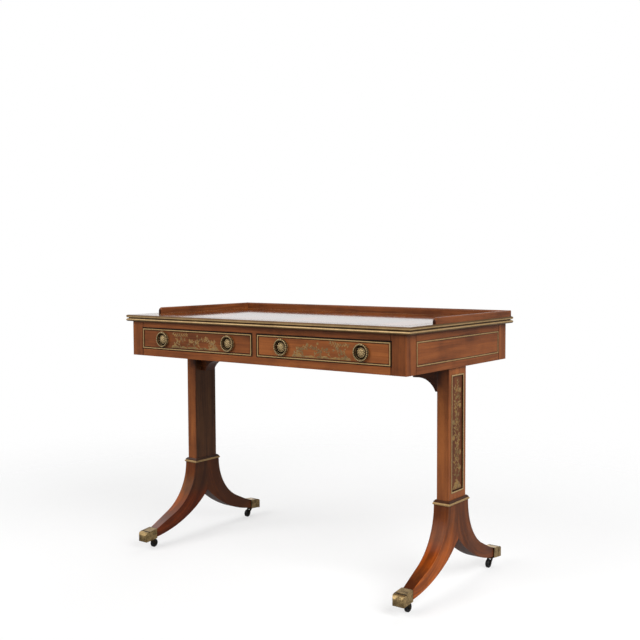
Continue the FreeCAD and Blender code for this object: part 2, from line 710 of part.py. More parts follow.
def drawer(side_name, side):
    """One drawer box with its brass bead and pulls."""
    name = f"{side_name}_drawer"
    xs = spread(side, divider_half + s.drawer_gap, post_x - s.drawer_gap)
    zs = (drawer_floor + s.drawer_gap, drawer_ceiling - s.drawer_gap)
    face = -frieze_y
    inside = face + s.front_thickness
    end = face + s.drawer_length
    base = drawer_floor + s.drawer_lift
    thick = s.drawer_side_thickness

    boards = []
    for number, low in enumerate((xs[0], xs[1] - thick)):
        board = new_body(f"{name}_side_{number}")
        outline = Outline(board, f"{name}_side_{number}_outline", "YZ").ring(side_outline(inside, end))
        pad(board, f"{name}_side_{number}_board", outline, thick)
        boards.append(place(board, (low, zero, base)))

    rise = (base + s.drawer_bottom_rise, base + s.drawer_bottom_rise + s.drawer_bottom_thickness)
    groove = thick - s.groove_depth
    floor_y = (inside - s.groove_depth, end - s.drawer_back_inset)
    bottom = block(f"{name}_floor", (xs[0] + groove, xs[1] - groove), floor_y, rise)
    node(f"{name}_bottom", bottom)

    back_y = (end - s.drawer_back_inset - s.drawer_back_thickness, end - s.drawer_back_inset)
    node(f"{name}_back", block(f"{name}_rear", (xs[0] + thick, xs[1] - thick), back_y,
                               (rise[1], base + s.drawer_side_height)))

    bead_y = (face - s.cockbead_stand, face - s.cockbead_stand + s.cockbead_depth)
    bead = frame_box(f"{name}_surround", xs, bead_y, zs, s.cockbead_width, 1)
    node(f"{name}_bead", bead)

    plates, bolts, holes = [], [], []
    height = (drawer_floor + drawer_ceiling) / 2
    for number, offset in enumerate((-s.pull_half_width, s.pull_half_width)):
        x = side * drawer_middle() + offset
        centre = (x, face, height)
        pull = f"{name}_pull_{number}"
        plates.append(pull_plate(pull, centre))
        bolts += pull_bolt(pull, centre)
        hole_radius = s.bolt_radius + s.bolt_clearance
        holes.append(rod(f"{pull}_hole", centre, hole_radius, s.front_thickness, "y"))
        where = "outer" if number == (0 if side < 0 else 1) else "inner"
        node(f"{side_name}_{where}_ring", pull_ring(f"{pull}_ring", centre))
    node(f"{side_name}_pull_plates", group(f"{name}_plates", *plates))
    node(f"{side_name}_pull_bolts", group(f"{name}_bolts", *bolts))

    board = block(f"{name}_front_board", xs, (face, inside), zs)
    node(f"{name}_front", cut(f"{name}_front", board, *boards, bottom, bead, *holes))
    sides = [cut(f"{name}_side_{number}_grooved", board, bottom) for number, board in enumerate(boards)]
    node(f"{name}_sides", group(f"{name}_side_pair", *sides))


def side_outline(inside, end):
    """Corners of a drawer side seen from its face: dovetails in front, square behind."""
    pitch = s.drawer_side_height / TAILS
    corners = [(end, zero), (end, s.drawer_side_height), (inside, s.drawer_side_height)]
    for number in reversed(range(TAILS)):
        low, high = pitch * number + s.tail_gap, pitch * (number + 1) - s.tail_gap
        tip = inside - s.tail_length
        corners += [(inside, high - s.tail_splay), (tip, high), (tip, low), (inside, low + s.tail_splay)]
    return corners + [(inside, zero)]


def pull_plate(name, centre):
    """Round backplate with a sunk ring, a domed rosette and the knuckle that holds the ring."""
    turned = new_body(f"{name}_turned")
    profile = Outline(turned, f"{name}_profile", "XY")
    front = -s.plate_thickness
    well = front + s.plate_well_depth
    crown = front - s.rosette_height
    dome = (s.rosette_radius * s.rosette_radius + s.rosette_height * s.rosette_height) / (2 * s.rosette_height)
    rim = s.plate_rim
    profile.ring(
        [(zero, zero), (s.plate_radius, zero), (s.plate_radius, front + rim), (s.plate_radius - rim, front),
         (s.plate_well_radius, front), (s.plate_well_radius - rim, well), (s.rosette_radius, well),
         (s.rosette_radius, front), (zero, crown)],
        {7: (dome, 1)})
    spin = turned.newObject("PartDesign::Revolution", f"{name}_revolution")
    spin.Profile = profile.sketch
    spin.ReferenceAxis = (profile.sketch, ["V_Axis"])
    spin.Angle = 360
    place(turned, centre)

    # The knuckle is a cross barrel on a post, bored for the pins of the ring.
    x, face, height = centre
    half = s.knuckle_length / 2
    pivot = (face - s.ring_stand, height + s.ring_radius)
    foot = x - half
    barrel = rod(f"{name}_barrel", (foot, *pivot), s.knuckle_radius, s.knuckle_length, "x")
    post = block(f"{name}_post", (foot, x + half), (face - s.ring_stand, face),
                 (pivot[1] - s.knuckle_post / 2, pivot[1] + s.knuckle_post / 2))
    bore = rod(f"{name}_bore", (foot, *pivot), s.ring_pin_radius + s.fit_clearance, s.knuckle_length, "x")
    return cut(f"{name}_plate", fuse(f"{name}_casting", turned, barrel, post), bore)


def pull_ring(name, centre):
    """Ring open at its knuckle, with a pin at each end."""
    x, face, height = centre
    pivot = (face - s.ring_stand, height + s.ring_radius)
    hoop = doc.addObject("Part::Torus", f"{name}_hoop")
    bind(hoop, "Radius1", s.ring_radius)
    bind(hoop, "Radius2", s.ring_wire)
    place(hoop, (x, face - s.ring_stand, height))
    hoop.Placement.Rotation = FreeCAD.Rotation(FreeCAD.Vector(1, 0, 0), 90)
    half = s.knuckle_length / 2 + s.ring_end_gap
    room = 2 * s.ring_wire
    gap = block(f"{name}_gap", (x - half, x + half), (pivot[0] - room, pivot[0] + room),
                (pivot[1] - room, pivot[1] + room))
    pins = []
    length = s.ring_pin_length + s.ring_wire
    for number, start in enumerate((x - half - s.ring_wire, x + half - s.ring_pin_length)):
        pins.append(rod(f"{name}_pin_{number}", (start, *pivot), s.ring_pin_radius, length, "x"))
    return fuse(name, cut(f"{name}_open", hoop, gap), *pins)


def pull_bolt(name, centre):
    """Bolt through the drawer front and its nut inside."""
    x, face, height = centre
    length = s.front_thickness + s.nut_height + s.bolt_end
    shank = rod(f"{name}_bolt", centre, s.bolt_radius, length, "y")
    block_of_nut = doc.addObject("Part::Prism", f"{name}_nut_blank")
    block_of_nut.Polygon = 6
    bind(block_of_nut, "Circumradius", s.nut_radius)
    bind(block_of_nut, "Height", s.nut_height)
    place(block_of_nut, (x, face + s.front_thickness, height))
    block_of_nut.Placement.Rotation = FreeCAD.Rotation(FreeCAD.Vector(1, 0, 0), -90)
    return [shank, cut(f"{name}_nut", block_of_nut, shank)]


def trestle_column(side_name, side):
    """Column with tenons at both ends and a sunk panel on its outer face."""
    name = f"{side_name}_column"
    half = s.column_width / 2
    thick = s.column_thickness
    bar = new_body(f"{name}_bar")
    corners, arcs = soft_rectangle((-thick / 2, thick / 2), (-half, half), s.arris)
    section = Outline(bar, f"{name}_section", "XY").ring(corners, arcs)
    pad(bar, f"{name}_length", section, frieze_bottom - s.base_height)
    place(bar, (side * trestle_x, zero, s.base_height))

    inset = s.column_tenon_inset
    head = block(f"{name}_head", spread(side, column_face - thick + inset, apron_inside - inset),
                 (-s.column_tenon_width / 2, s.column_tenon_width / 2),
                 (frieze_bottom, frieze_bottom + s.column_tenon_height))
    foot_half = s.foot_tenon_thickness / 2
    foot = block(f"{name}_foot", (side * trestle_x - foot_half, side * trestle_x + foot_half),
                 (-s.foot_tenon_width / 2, s.foot_tenon_width / 2),
                 (s.base_height - s.foot_tenon_depth, s.base_height))
    panel_y = (-half + s.panel_side_margin, half - s.panel_side_margin)
    panel_z = (moulding_top + s.panel_bottom_margin, frieze_bottom - s.panel_top_margin)
    sunk = column_face - s.panel_recess
    recess = block(f"{name}_recess", spread(side, sunk, column_face + s.panel_recess), panel_y, panel_z)
    frame = frame_box(f"{name}_frame", spread(side, sunk, column_face + s.panel_frame_stand), panel_y, panel_z,
                      s.panel_frame_width, 0)
    column = cut(name, fuse(f"{name}_whole", bar, head, foot), recess)
    return node(name, column), frame


def bracket(side_name, side):
    """Hollow-curved bracket in the angle between the column and the frieze."""
    name = f"{side_name}_bracket"
    owner = new_body(name)
    length, height = s.bracket_length, s.bracket_height
    corners = [(zero, zero), (zero, -height), (-s.bracket_foot, -height),
               (-length + s.bracket_lip, -s.bracket_nose), (-length, -s.bracket_nose), (-length, zero)]
    outline = Outline(owner, f"{name}_outline", "XZ").ring(corners, {2: (s.bracket_arc, -1)})
    pad(owner, f"{name}_board", outline, s.bracket_width, middle=True)
    turn = 0 if side > 0 else 180
    return place(owner, (side * (column_face - s.column_thickness), zero, frieze_bottom), turn)


def foot_trim(side_name, side, column):
    """The wood moulding and the brass collar at the foot of a column."""
    pieces = []
    half_x, half_y = s.column_thickness / 2 + s.moulding_width, s.column_width / 2 + s.moulding_width
    collar_x, collar_y = s.block_thickness / 2 + s.collar_stand, s.block_width / 2 + s.collar_stand
    parts = (("moulding", half_x, half_y, moulding_bottom, s.moulding_height, "Chamfer", s.moulding_slope),
             ("collar", collar_x, collar_y, s.base_height, s.collar_height, "Fillet", s.collar_round))
    for kind, x, y, bottom, height, dressing, size in parts:
        name = f"{side_name}_{kind}"
        owner = new_body(f"{name}_blank")
        outline = Outline(owner, f"{name}_outline", "XY").ring(rectangle((-x, x), (-y, y)))
        slab = pad(owner, f"{name}_slab", outline, height)
        top = height.value - TOLERANCE
        both = kind == "collar"

        def level(edge):
            """Choose the top edges, and on the collar the bottom ones too."""
            box = edge.BoundBox
            return box.ZLength < TOLERANCE and (box.ZMin > top or both)

        soften(owner, f"{name}_edge", dressing, slab, level, size)
        place(owner, (side * trestle_x, zero, bottom))
        pieces.append(cut(name, owner, column))
    return pieces


def leg_points():
    """Where a leg's upper sweep ends and where it meets its toe cap, out from the seam and up."""
    bend = (leg_front + s.leg_arc * (1 - cosine(s.leg_turn)), s.base_height - s.leg_arc * sine(s.leg_turn))
    slope = cosine(s.leg_turn) / sine(s.leg_turn)
    joint = (s.toe_joint, bend[1] - (s.toe_joint - bend[0]) * slope)
    return bend, joint


def cap_top(out):
    """Height of a toe cap's top at a distance out from the seam, behind its nose."""
    joint_height = leg_points()[1][1] + s.cap_stand
    return joint_height - s.cap_fall * (out - s.toe_joint) / (s.toe_tip - s.cap_nose - s.toe_joint)


def cap_under(out):
    """Height of a toe cap's underside at a distance out from the seam."""
    rise = s.toe_under - s.cap_stand - s.cap_bottom
    return s.cap_bottom + rise * (s.toe_tip - out) / (s.toe_tip - s.toe_joint)


# The caster's crown stays clear of the toe cap at the crown's foremost point.
stem = s.toe_joint + s.stem_setback
crown_top = cap_under(stem + s.crown_radius) - s.crown_clearance


def sabre_leg(name):
    """A front leg: its sweep, its narrowing towards the toe and its tongue inside the toe cap."""
    bend, joint = leg_points()
    leg = new_body(f"{name}_shape")
    corners = [(zero, s.base_height), (-leg_front, s.base_height), (-bend[0], bend[1]), (-joint[0], joint[1]),
               (-joint[0], s.toe_under), (zero, s.crotch_height)]
    sweep = Outline(leg, f"{name}_sweep", "YZ")
    sweep.ring(corners, {1: (s.leg_arc, 1), 4: (s.leg_under_arc, -1)})
    pad(leg, f"{name}_board", sweep, s.block_thickness, middle=True)

    taper = Outline(leg, f"{name}_taper", "XY")
    wide, narrow = s.block_thickness / 2, s.toe_thickness / 2
    spare = s.block_thickness
    for side in (-1, 1):
        taper.ring([(side * wide, -leg_front), (side * narrow, -s.toe_joint),
                    (side * narrow, -s.toe_joint - spare), (side * spare, -s.toe_joint - spare),
                    (side * spare, -leg_front)])
    pocket(leg, f"{name}_narrowing", taper)

    wall = s.cap_wall
    end = s.toe_tip - s.cap_nose_wall
    tongue = Outline(leg, f"{name}_tongue", "YZ")
    tongue.ring([(-s.toe_joint, cap_under(s.toe_joint) + wall), (-s.toe_joint, cap_top(s.toe_joint) - wall),
                 (-end, cap_top(end) - wall), (-end, cap_under(end) + wall)])
    pad(leg, f"{name}_tenon", tongue, s.toe_thickness + 2 * (s.cap_stand - wall), middle=True)
    return leg


def toe_cap(name):
    """Brass shoe over the end of a front leg, with an incised line across its nose."""
    cap = new_body(f"{name}_shape")
    nose = s.toe_tip - s.cap_nose
    line = nose - s.cap_line_setback
    deep = line - s.cap_line / 2
    behind = line - s.cap_line
    chin = s.toe_tip - s.cap_chin
    corners = [(-s.toe_joint, cap_under(s.toe_joint)), (-s.toe_joint, cap_top(s.toe_joint)),
               (-behind, cap_top(behind)), (-deep, cap_top(deep) - s.cap_line / 2), (-line, cap_top(line)),
               (-nose, cap_top(nose)), (-s.toe_tip, cap_top(nose) - s.cap_nose_drop),
               (-s.toe_tip, s.cap_bottom + s.cap_chin), (-chin, cap_under(chin))]
    outline = Outline(cap, f"{name}_outline", "YZ").ring(corners, {5: (s.cap_nose_arc, -1), 7: (s.cap_chin, -1)})
    pad(cap, f"{name}_block", outline, s.toe_thickness + 2 * s.cap_stand, middle=True)

    rounding = Outline(cap, f"{name}_rounding", "XY")
    wide = s.toe_thickness / 2 + s.cap_stand
    narrow = wide - s.cap_corner
    start = s.cap_corner - s.toe_tip
    spare = s.cap_corner
    for side in (-1, 1):
        rounding.ring([(side * narrow, -s.toe_tip), (side * wide, start), (side * (wide + spare), start),
                       (side * (wide + spare), -s.toe_tip - spare), (side * narrow, -s.toe_tip - spare)],
                      {0: (s.cap_corner, -side)})
    pocket(cap, f"{name}_corners", rounding)
    return cap


def trestle_foot(side_name, side, end_name, end, joined):
    """One leg with its toe cap and caster, built as a front leg and turned for the back."""
    name = f"{end_name}_{side_name}"
    turn = 0 if end < 0 else 180
    centre = (side * trestle_x, zero, zero)
    shape = place(sabre_leg(f"{name}_leg"), centre, turn)
    cap = place(toe_cap(f"{name}_cap"), centre, turn)
    foot = (side * trestle_x, end * stem, crown_top)
    hole_depth = s.stem_length + s.stem_clearance
    hole = rod(f"{name}_stem_hole", foot, s.stem_radius + s.stem_clearance, hole_depth)
    bore = rod(f"{name}_stem_bore", foot, s.stem_radius + s.fit_clearance, hole_depth)
    node(f"{name}_leg", cut(f"{name}_leg", shape, hole, *joined))
    fork = place(caster_fork(f"{name}_fork"), (side * trestle_x, end * stem, zero), turn)
    axle_half = s.wheel_width / 2 + s.fork_clearance + s.fork_plate + s.axle_end
    axle_y = end * (stem - s.caster_trail)
    axle = rod(f"{name}_axle", (side * trestle_x - axle_half, axle_y, s.wheel_radius), s.axle_radius,
               2 * axle_half, "x")
    node(f"{name}_fork", group(f"{name}_fork_set", fork, axle))
    wheel = caster_wheel(f"{name}_wheel")
    node(f"{name}_wheel", place(wheel, (side * trestle_x, axle_y, s.wheel_radius)))
    return cut(f"{name}_toe_cap", cap, shape, bore)


def caster_fork(name):
    """Two cheeks under a round crown with its stem, trailing towards the seam of the legs."""
    fork = new_body(f"{name}_shape")
    crown_bottom = crown_top - s.crown_thickness
    crown = Outline(fork, f"{name}_crown", "XY")
    radius = s.crown_radius
    crown.ring([(radius, zero), (zero, radius), (-radius, zero), (zero, -radius)],
               {number: (radius, -1) for number in range(4)})
    bind(crown.sketch, "AttachmentOffset.Base.z", crown_bottom)
    pad(fork, f"{name}_disc", crown, s.crown_thickness)

    pivot = Outline(fork, f"{name}_pivot", "XY")
    radius = s.stem_radius
    pivot.ring([(radius, zero), (zero, radius), (-radius, zero), (zero, -radius)],
               {number: (radius, -1) for number in range(4)})
    bind(pivot.sketch, "AttachmentOffset.Base.z", crown_bottom + s.crown_thickness / 2)
    pad(fork, f"{name}_stem", pivot, s.crown_thickness / 2 + s.stem_length)

    gap = s.wheel_width / 2 + s.fork_clearance
    eye, axle, trail = s.fork_eye, s.wheel_radius, s.caster_trail
    root = crown_bottom + s.crown_thickness / 2
    hole = s.axle_radius + s.fit_clearance
    for number, offset in enumerate((-gap - s.fork_plate, gap)):
        cheek = Outline(fork, f"{name}_cheek_{number}", "YZ")
        cheek.ring([(-s.fork_root, root), (-s.fork_root, crown_bottom), (trail - eye, axle), (trail, axle - eye),
                    (trail + eye, axle), (s.fork_root, crown_bottom), (s.fork_root, root)],
                   {2: (eye, -1), 3: (eye, -1)})
        cheek.ring([(trail + hole, axle), (trail, axle + hole), (trail - hole, axle), (trail, axle - hole)],
                   {edge: (hole, -1) for edge in range(4)})
        bind(cheek.sketch, "AttachmentOffset.Base.z", offset)
        pad(fork, f"{name}_cheek_plate_{number}", cheek, s.fork_plate)
    return fork


def caster_wheel(name):
    """Turned wheel with a hub, a sunk web and a bevelled tread."""
    wheel = new_body(name)
    half = s.wheel_width / 2
    web = half - s.wheel_web_inset
    tread = s.wheel_tread / 2
    shoulder = tread + s.wheel_shoulder
    rim = s.wheel_radius - 2 * s.wheel_shoulder
    hub = s.wheel_hub
    bore = s.axle_radius + s.fit_clearance
    side = [(half, bore), (half, hub), (web, hub + s.wheel_web_inset), (web, rim - s.wheel_web_inset),
            (shoulder, rim), (shoulder, s.wheel_radius - s.wheel_shoulder), (tread, s.wheel_radius)]
    corners = side + [(-u, v) for u, v in reversed(side)]
    profile = Outline(wheel, f"{name}_section", "XY").ring(corners)
    spin = wheel.newObject("PartDesign::Revolution", f"{name}_turning")
    spin.Profile = profile.sketch
    spin.ReferenceAxis = (profile.sketch, ["H_Axis"])
    spin.Angle = 360
    return wheel


def trestles():
    """Both trestle ends, and the columns that the runners are mortised for."""
    columns, frames, brackets, mouldings, collars, caps, dowels = {}, [], [], [], [], [], []
    for side_name, side in SIDES:
        columns[side], frame = trestle_column(side_name, side)
        frames.append(frame)
        brackets.append(bracket(side_name, side))
        moulding, collar = foot_trim(side_name, side, columns[side])
        mouldings.append(moulding)
        collars.append(collar)
        pair = []
        for number, offset in enumerate((-s.dowel_half_width, s.dowel_half_width)):
            foot = (side * trestle_x + offset, -s.dowel_length / 2, s.dowel_height)
            pair.append(rod(f"{side_name}_dowel_{number}", foot, s.dowel_radius, s.dowel_length, "y"))
        dowels += pair
        for end_name, end in ENDS:
            caps.append(trestle_foot(side_name, side, end_name, end, (columns[side], *pair)))
    node("column_frames", group("frame_pair", *frames))
    node("column_brackets", group("bracket_pair", *brackets))
    node("column_mouldings", group("moulding_pair", *mouldings))
    node("column_collars", group("collar_pair", *collars))
    node("leg_dowels", group("dowel_set", *dowels))
    node("toe_caps", group("cap_set", *caps))
    return columns


def check():
    """Stop if any feature failed or any piece is not sound."""
    doc.recompute()
    failed = [thing.Name for thing in doc.Objects if {"Invalid", "Error"} & set(thing.State)]
    unsound = [name for name, piece in nodes.items()
               if piece.Shape.isNull() or not piece.Shape.isValid() or not piece.Shape.Solids]
    if failed or unsound:
        raise RuntimeError(f"failed features {failed}, unsound pieces {unsound}")


def write():
    """Write each piece to its own file."""
    os.makedirs("parts", exist_ok=True)
    for name, piece in nodes.items():
        piece.Shape.exportStep(f"parts/{name}.step")
    print(len(nodes), "pieces written")


core = top_board()
gallery()
posts = frieze()
columns = trestles()
shanks = drawer_supports(posts, columns)
node("top_core", cut("top_core", core, *shanks))
for drawer_side_name, drawer_side in SIDES:
    drawer(drawer_side_name, drawer_side)
check()
write()
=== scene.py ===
"""Looks of a library table: finishes, fine ornament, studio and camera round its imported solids.

Metres. X runs along the width, Y from the front (negative) to the back, Z up from the floor.
Finishes work in millimetres of the same frame.
"""
import logging
import math
import random
from dataclasses import dataclass, field
from enum import Enum
from typing import Any, Callable, Sequence, Union

import bpy
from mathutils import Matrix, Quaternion, Vector


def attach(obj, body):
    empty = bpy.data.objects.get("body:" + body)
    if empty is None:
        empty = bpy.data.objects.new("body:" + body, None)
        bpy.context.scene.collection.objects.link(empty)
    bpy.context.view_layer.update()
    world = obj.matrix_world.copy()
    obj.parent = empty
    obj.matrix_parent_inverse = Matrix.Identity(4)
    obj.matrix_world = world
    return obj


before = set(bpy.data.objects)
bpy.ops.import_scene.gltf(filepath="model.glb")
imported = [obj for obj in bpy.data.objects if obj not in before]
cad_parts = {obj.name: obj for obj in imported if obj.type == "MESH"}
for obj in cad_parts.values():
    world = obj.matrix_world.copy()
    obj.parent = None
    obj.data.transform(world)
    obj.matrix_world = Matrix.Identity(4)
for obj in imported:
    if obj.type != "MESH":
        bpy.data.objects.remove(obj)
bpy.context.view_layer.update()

log = logging.getLogger("library_table")
MM = 0.001
BEYOND = 1000.0  # millimetres, further out than any piece
Colour = tuple[float, float, float]
Spot = tuple[float, float]
Feed = Union["Wire", float, Sequence[float]]
Place = tuple["Wire", "Wire", "Wire"]
Run = Callable[["Board", Place], Place]
Shade = Callable[["Board", Place], "Wire"]
WHITE: Colour = (1.0, 1.0, 1.0)


class Grain(Enum):
    """Which axes of a straight piece run along, across and through its grain."""

    WIDTH = (0, 2, 1)
    DEPTH = (1, 2, 0)
    HEIGHT = (2, 1, 0)

    def run(self, board: "Board", place: Place) -> Place:
        """The distances along, across and through the grain."""
        return tuple(place[axis] for axis in self.value)


class Plane(Enum):
    """Which axes run across, up and out of a face."""

    TOP = (0, 1, 2)
    FRONT = (0, 2, 1)
    SIDE = (1, 2, 0)


class Side(Enum):
    """Left or right half of the table, as the sign of X."""

    LEFT = -1
    RIGHT = 1

    @property
    def word(self) -> str:
        """The side's name in the names of its pieces."""
        return self.name.lower()


class Face(Enum):
    """Faces of a sabre leg: its outer and inner sides, and its curved front and back."""

    OUTER = 0
    INNER = 1
    CURVED = 2


class Wire:
    """One output of a finish's nodes, which takes part in sums as a number does."""

    def __init__(self, board: "Board", node: bpy.types.Node, output: str | int = 0) -> None:
        """Keep the node and which of its outputs is meant.

        Args:
            board: the nodes that the wire belongs to.
            node: the node that it comes from.
            output: name or number of the node's output.
        """
        self.board = board
        self.node = node
        self.output = output

    @property
    def socket(self) -> bpy.types.NodeSocket:
        """The output socket itself."""
        return self.node.outputs[self.output]

    def __add__(self, other: Feed) -> "Wire":
        """Sum."""
        return self.board.maths("ADD", self, other)

    def __radd__(self, other: Feed) -> "Wire":
        """Sum with a number in front."""
        return self.board.maths("ADD", other, self)

    def __sub__(self, other: Feed) -> "Wire":
        """Difference."""
        return self.board.maths("SUBTRACT", self, other)

    def __rsub__(self, other: Feed) -> "Wire":
        """Difference from a number."""
        return self.board.maths("SUBTRACT", other, self)

    def __mul__(self, other: Feed) -> "Wire":
        """Product."""
        return self.board.maths("MULTIPLY", self, other)

    def __rmul__(self, other: Feed) -> "Wire":
        """Product with a number in front."""
        return self.board.maths("MULTIPLY", other, self)

    def __truediv__(self, other: Feed) -> "Wire":
        """Quotient."""
        return self.board.maths("DIVIDE", self, other)

    def __rtruediv__(self, other: Feed) -> "Wire":
        """Quotient of a number by the wire."""
        return self.board.maths("DIVIDE", other, self)

    def __lt__(self, other: Feed) -> "Wire":
        """1 where the wire is less, otherwise 0."""
        return self.board.maths("LESS_THAN", self, other)

    def __gt__(self, other: Feed) -> "Wire":
        """1 where the wire is more, otherwise 0."""
        return self.board.maths("GREATER_THAN", self, other)

    def __abs__(self) -> "Wire":
        """Size without sign."""
        return self.board.maths("ABSOLUTE", self)


class Board:
    """The nodes of one finish."""

    def __init__(self, name: str, owner: bpy.types.ID | None = None) -> None:
        """Start with an empty set of nodes.

        Args:
            name: name of the finish.
            owner: what holds the nodes, or none for a new material.
        """
        self.owner = owner or bpy.data.materials.new(name)
        self.owner.use_nodes = True
        self.tree = self.owner.node_tree
        self.tree.nodes.clear()

    def add(self, kind: str, settings: dict[str, Any] | None = None,
            feeds: dict[str | int, Feed] | None = None, output: str | int = 0) -> Wire:
        """Add any node.

        Args:
            kind: the node's type, without its common prefix.
            settings: its properties, and a ramp's stops as pairs of place and colour.
            feeds: numbers, colours or wires for its inputs.
            output: the output that is wanted.

        Returns:
            That output as a wire.
        """
        node = self.tree.nodes.new(f"ShaderNode{kind}")
        for name, value in (settings or {}).items():
            if name == "stops":
                self.stops(node.color_ramp, value)
            else:
                setattr(node, name, value)
        for name, feed in (feeds or {}).items():
            self.feed(node.inputs[name], feed)
        return Wire(self, node, output)

    def stops(self, ramp: bpy.types.ColorRamp, stops: Sequence[tuple[float, Colour]]) -> None:
        """Give a ramp its stops.

        Args:
            ramp: the ramp.
            stops: pairs of place and colour.
        """
        while len(ramp.elements) < len(stops):
            ramp.elements.new(1.0)
        for element, (place, colour) in zip(ramp.elements, stops):
            element.position = place
            element.color = (*colour, 1.0)

    def feed(self, socket: bpy.types.NodeSocket, feed: Feed) -> None:
        """Link a wire to an input, or set the input to a number or a colour.

        Args:
            socket: the input.
            feed: what it gets.
        """
        if isinstance(feed, Wire):
            self.tree.links.new(feed.socket, socket)
        elif isinstance(feed, (int, float)):
            socket.default_value = feed
        else:
            values = tuple(feed)
            wanted = len(socket.default_value)
            socket.default_value = values + (1.0,) * (wanted - len(values))

    def maths(self, operation: str, *values: Feed) -> Wire:
        """Add a Math node on one to three values."""
        return self.add("Math", {"operation": operation}, dict(enumerate(values)))

    def most(self, first: Feed, *others: Feed) -> Wire:
        """Find the largest of some values.

        Args:
            first: one of them.
            others: the rest.

        Returns:
            The largest.
        """
        for other in others:
            first = self.maths("MAXIMUM", first, other)
        return first

    def vector(self, operation: str, *values: Feed, output: str | int = 0) -> Wire:
        """Add a Vector Math node."""
        return self.add("VectorMath", {"operation": operation}, dict(enumerate(values)), output)

    def mix(self, share: Feed, first: Feed, second: Feed) -> Wire:
        """Blend two colours, from the first at 0 to the second at 1."""
        return self.add("Mix", {"data_type": "RGBA"}, {0: share, 6: first, 7: second}, 2)

    def shade(self, share: Feed, colour: Feed, by: Feed) -> Wire:
        """Multiply a colour by another, as far as a share says."""
        settings = {"data_type": "RGBA", "blend_type": "MULTIPLY"}
        return self.add("Mix", settings, {0: share, 6: colour, 7: by}, 2)

    def ease(self, value: Feed, none: Feed, full: Feed) -> Wire:
        """Go smoothly from 0 at one value to 1 at another, which may be the lower of the two."""
        feeds = {"Value": value, "From Min": none, "From Max": full}
        return self.add("MapRange", {"interpolation_type": "SMOOTHSTEP"}, feeds)

    def ramp(self, value: Feed, stops: Sequence[tuple[float, Colour]]) -> Wire:
        """Colours along a value."""
        return self.add("ValToRGB", {"stops": stops}, {"Fac": value}, "Color")

    def join(self, *parts: Feed) -> Wire:
        """Three values as one vector."""
        return self.add("CombineXYZ", None, dict(enumerate(parts)))

    def split(self, vector: Wire) -> Place:
        """The three parts of a vector."""
        parts = self.add("SeparateXYZ", None, {0: vector})
        return tuple(Wire(self, parts.node, number) for number in range(3))

    def place(self) -> Place:
        """The point on the piece: its distances across, back and up, in millimetres."""
        point = self.add("TexCoord", None, None, "Object")
        return self.split(self.vector("MULTIPLY", point, (1 / MM,) * 3))

    def bump(self, height: Wire, depth: float, strength: float = 1.0) -> Wire:
        """Small relief, from a height of 0 to 1 and its depth in millimetres."""
        feeds = {"Strength": strength, "Distance": depth * MM, "Height": height}
        return self.add("Bump", None, feeds, "Normal")

    def close(self, **feeds: Feed) -> bpy.types.Material:
        """End the nodes in a shader.

        Args:
            feeds: the shader's inputs, by their names with underscores for blanks.

        Returns:
            The finished material.
        """
        named = {name.replace("_", " "): feed for name, feed in feeds.items()}
        shader = self.add("BsdfPrincipled", None, named)
        self.add("OutputMaterial", None, {"Surface": shader})
        return self.owner


@dataclass(frozen=True)
class Mottle:
    """A cloudy pattern, with its sizes along three directions in millimetres."""

    sizes: tuple[float, float, float]
    detail: float = 2.0
    roughness: float = 0.5

    def draw(self, board: Board, place: tuple[Feed, Feed, Feed]) -> Wire:
        """Draw the pattern.

        Args:
            board: the finish's nodes.
            place: distances along the three directions.

        Returns:
            The pattern, from 0 to 1 and mostly about a half.
        """
        point = board.join(*(part / size for part, size in zip(place, self.sizes)))
        feeds = {"Vector": point, "Scale": 1.0, "Detail": self.detail, "Roughness": self.roughness}
        return board.add("TexNoise", None, feeds, "Fac")


@dataclass(frozen=True)
class Edging:
    """Shading beside or inside a rectangle that is drawn on a face and mirrored from left to right: mostly
    painted shade or a painted highlight, elsewhere a dark joint or a panel's ground.

    It is full at one distance from the rectangle's lines and gone at another. Inside a filled rectangle these
    distances are below 0. It stays off what is nearer to the middle of the table than the face.
    """

    plane: Plane
    middle: Spot
    half: Spot
    full: float
    none: float
    tint: Colour = WHITE
    filled: bool = False
    face: float = 0.0

    def share(self, board: Board, place: Place) -> Wire:
        """How strong the shading is, from its distance to the rectangle.

        Args:
            board: the finish's nodes.
            place: the point on the piece.

        Returns:
            1 at the distance where it is full, 0 at the one where there is none.
        """
        across, up, out = (place[axis] for axis in self.plane.value)
        wide = abs(abs(across) - self.middle[0]) - self.half[0]
        high = abs(up - self.middle[1]) - self.half[1]
        away = board.most(wide, high)
        reach = away if self.filled else abs(away)
        return board.ease(reach, self.none, self.full) * (abs(out) > self.face)


@dataclass(frozen=True)
class Band:
    """A lighter or darker stretch of a sabre leg, between two heights on some of its faces: painted light or
    painted shade, or where the lacquer is thicker when it sets the polish.

    The leg's sides lie at two distances from the middle of the table, and taper from the leg's front onwards.
    A point counts as on a side when it is less deep than the skin.
    """

    low: float
    high: float
    fade: float
    tint: Colour
    face: Face
    outer_x: float = 511.5
    inner_x: float = 464.5
    leg_front: float = 53.0
    taper: float = 8.5 / 178.0
    skin: float = 1.0

    def share(self, board: Board, place: Place) -> Wire:
        """How strong the change is.

        Args:
            board: the finish's nodes.
            place: the point on the leg.

        Returns:
            1 between the two heights, fading to 0 outside them, and 0 on the faces that stay.
        """
        x, y, z = place
        narrowing = board.most((abs(y) - self.leg_front) * self.taper, 0.0)
        from_outer = self.outer_x - narrowing - abs(x)
        from_inner = abs(x) - narrowing - self.inner_x
        if self.face is Face.CURVED:
            face = board.maths("MINIMUM", from_outer, from_inner) > self.skin
        else:
            face = (from_outer if self.face is Face.OUTER else from_inner) < self.skin
        above = board.ease(z, self.low - self.fade, self.low)
        below = board.ease(z, self.high + self.fade, self.high)
        return above * below * face
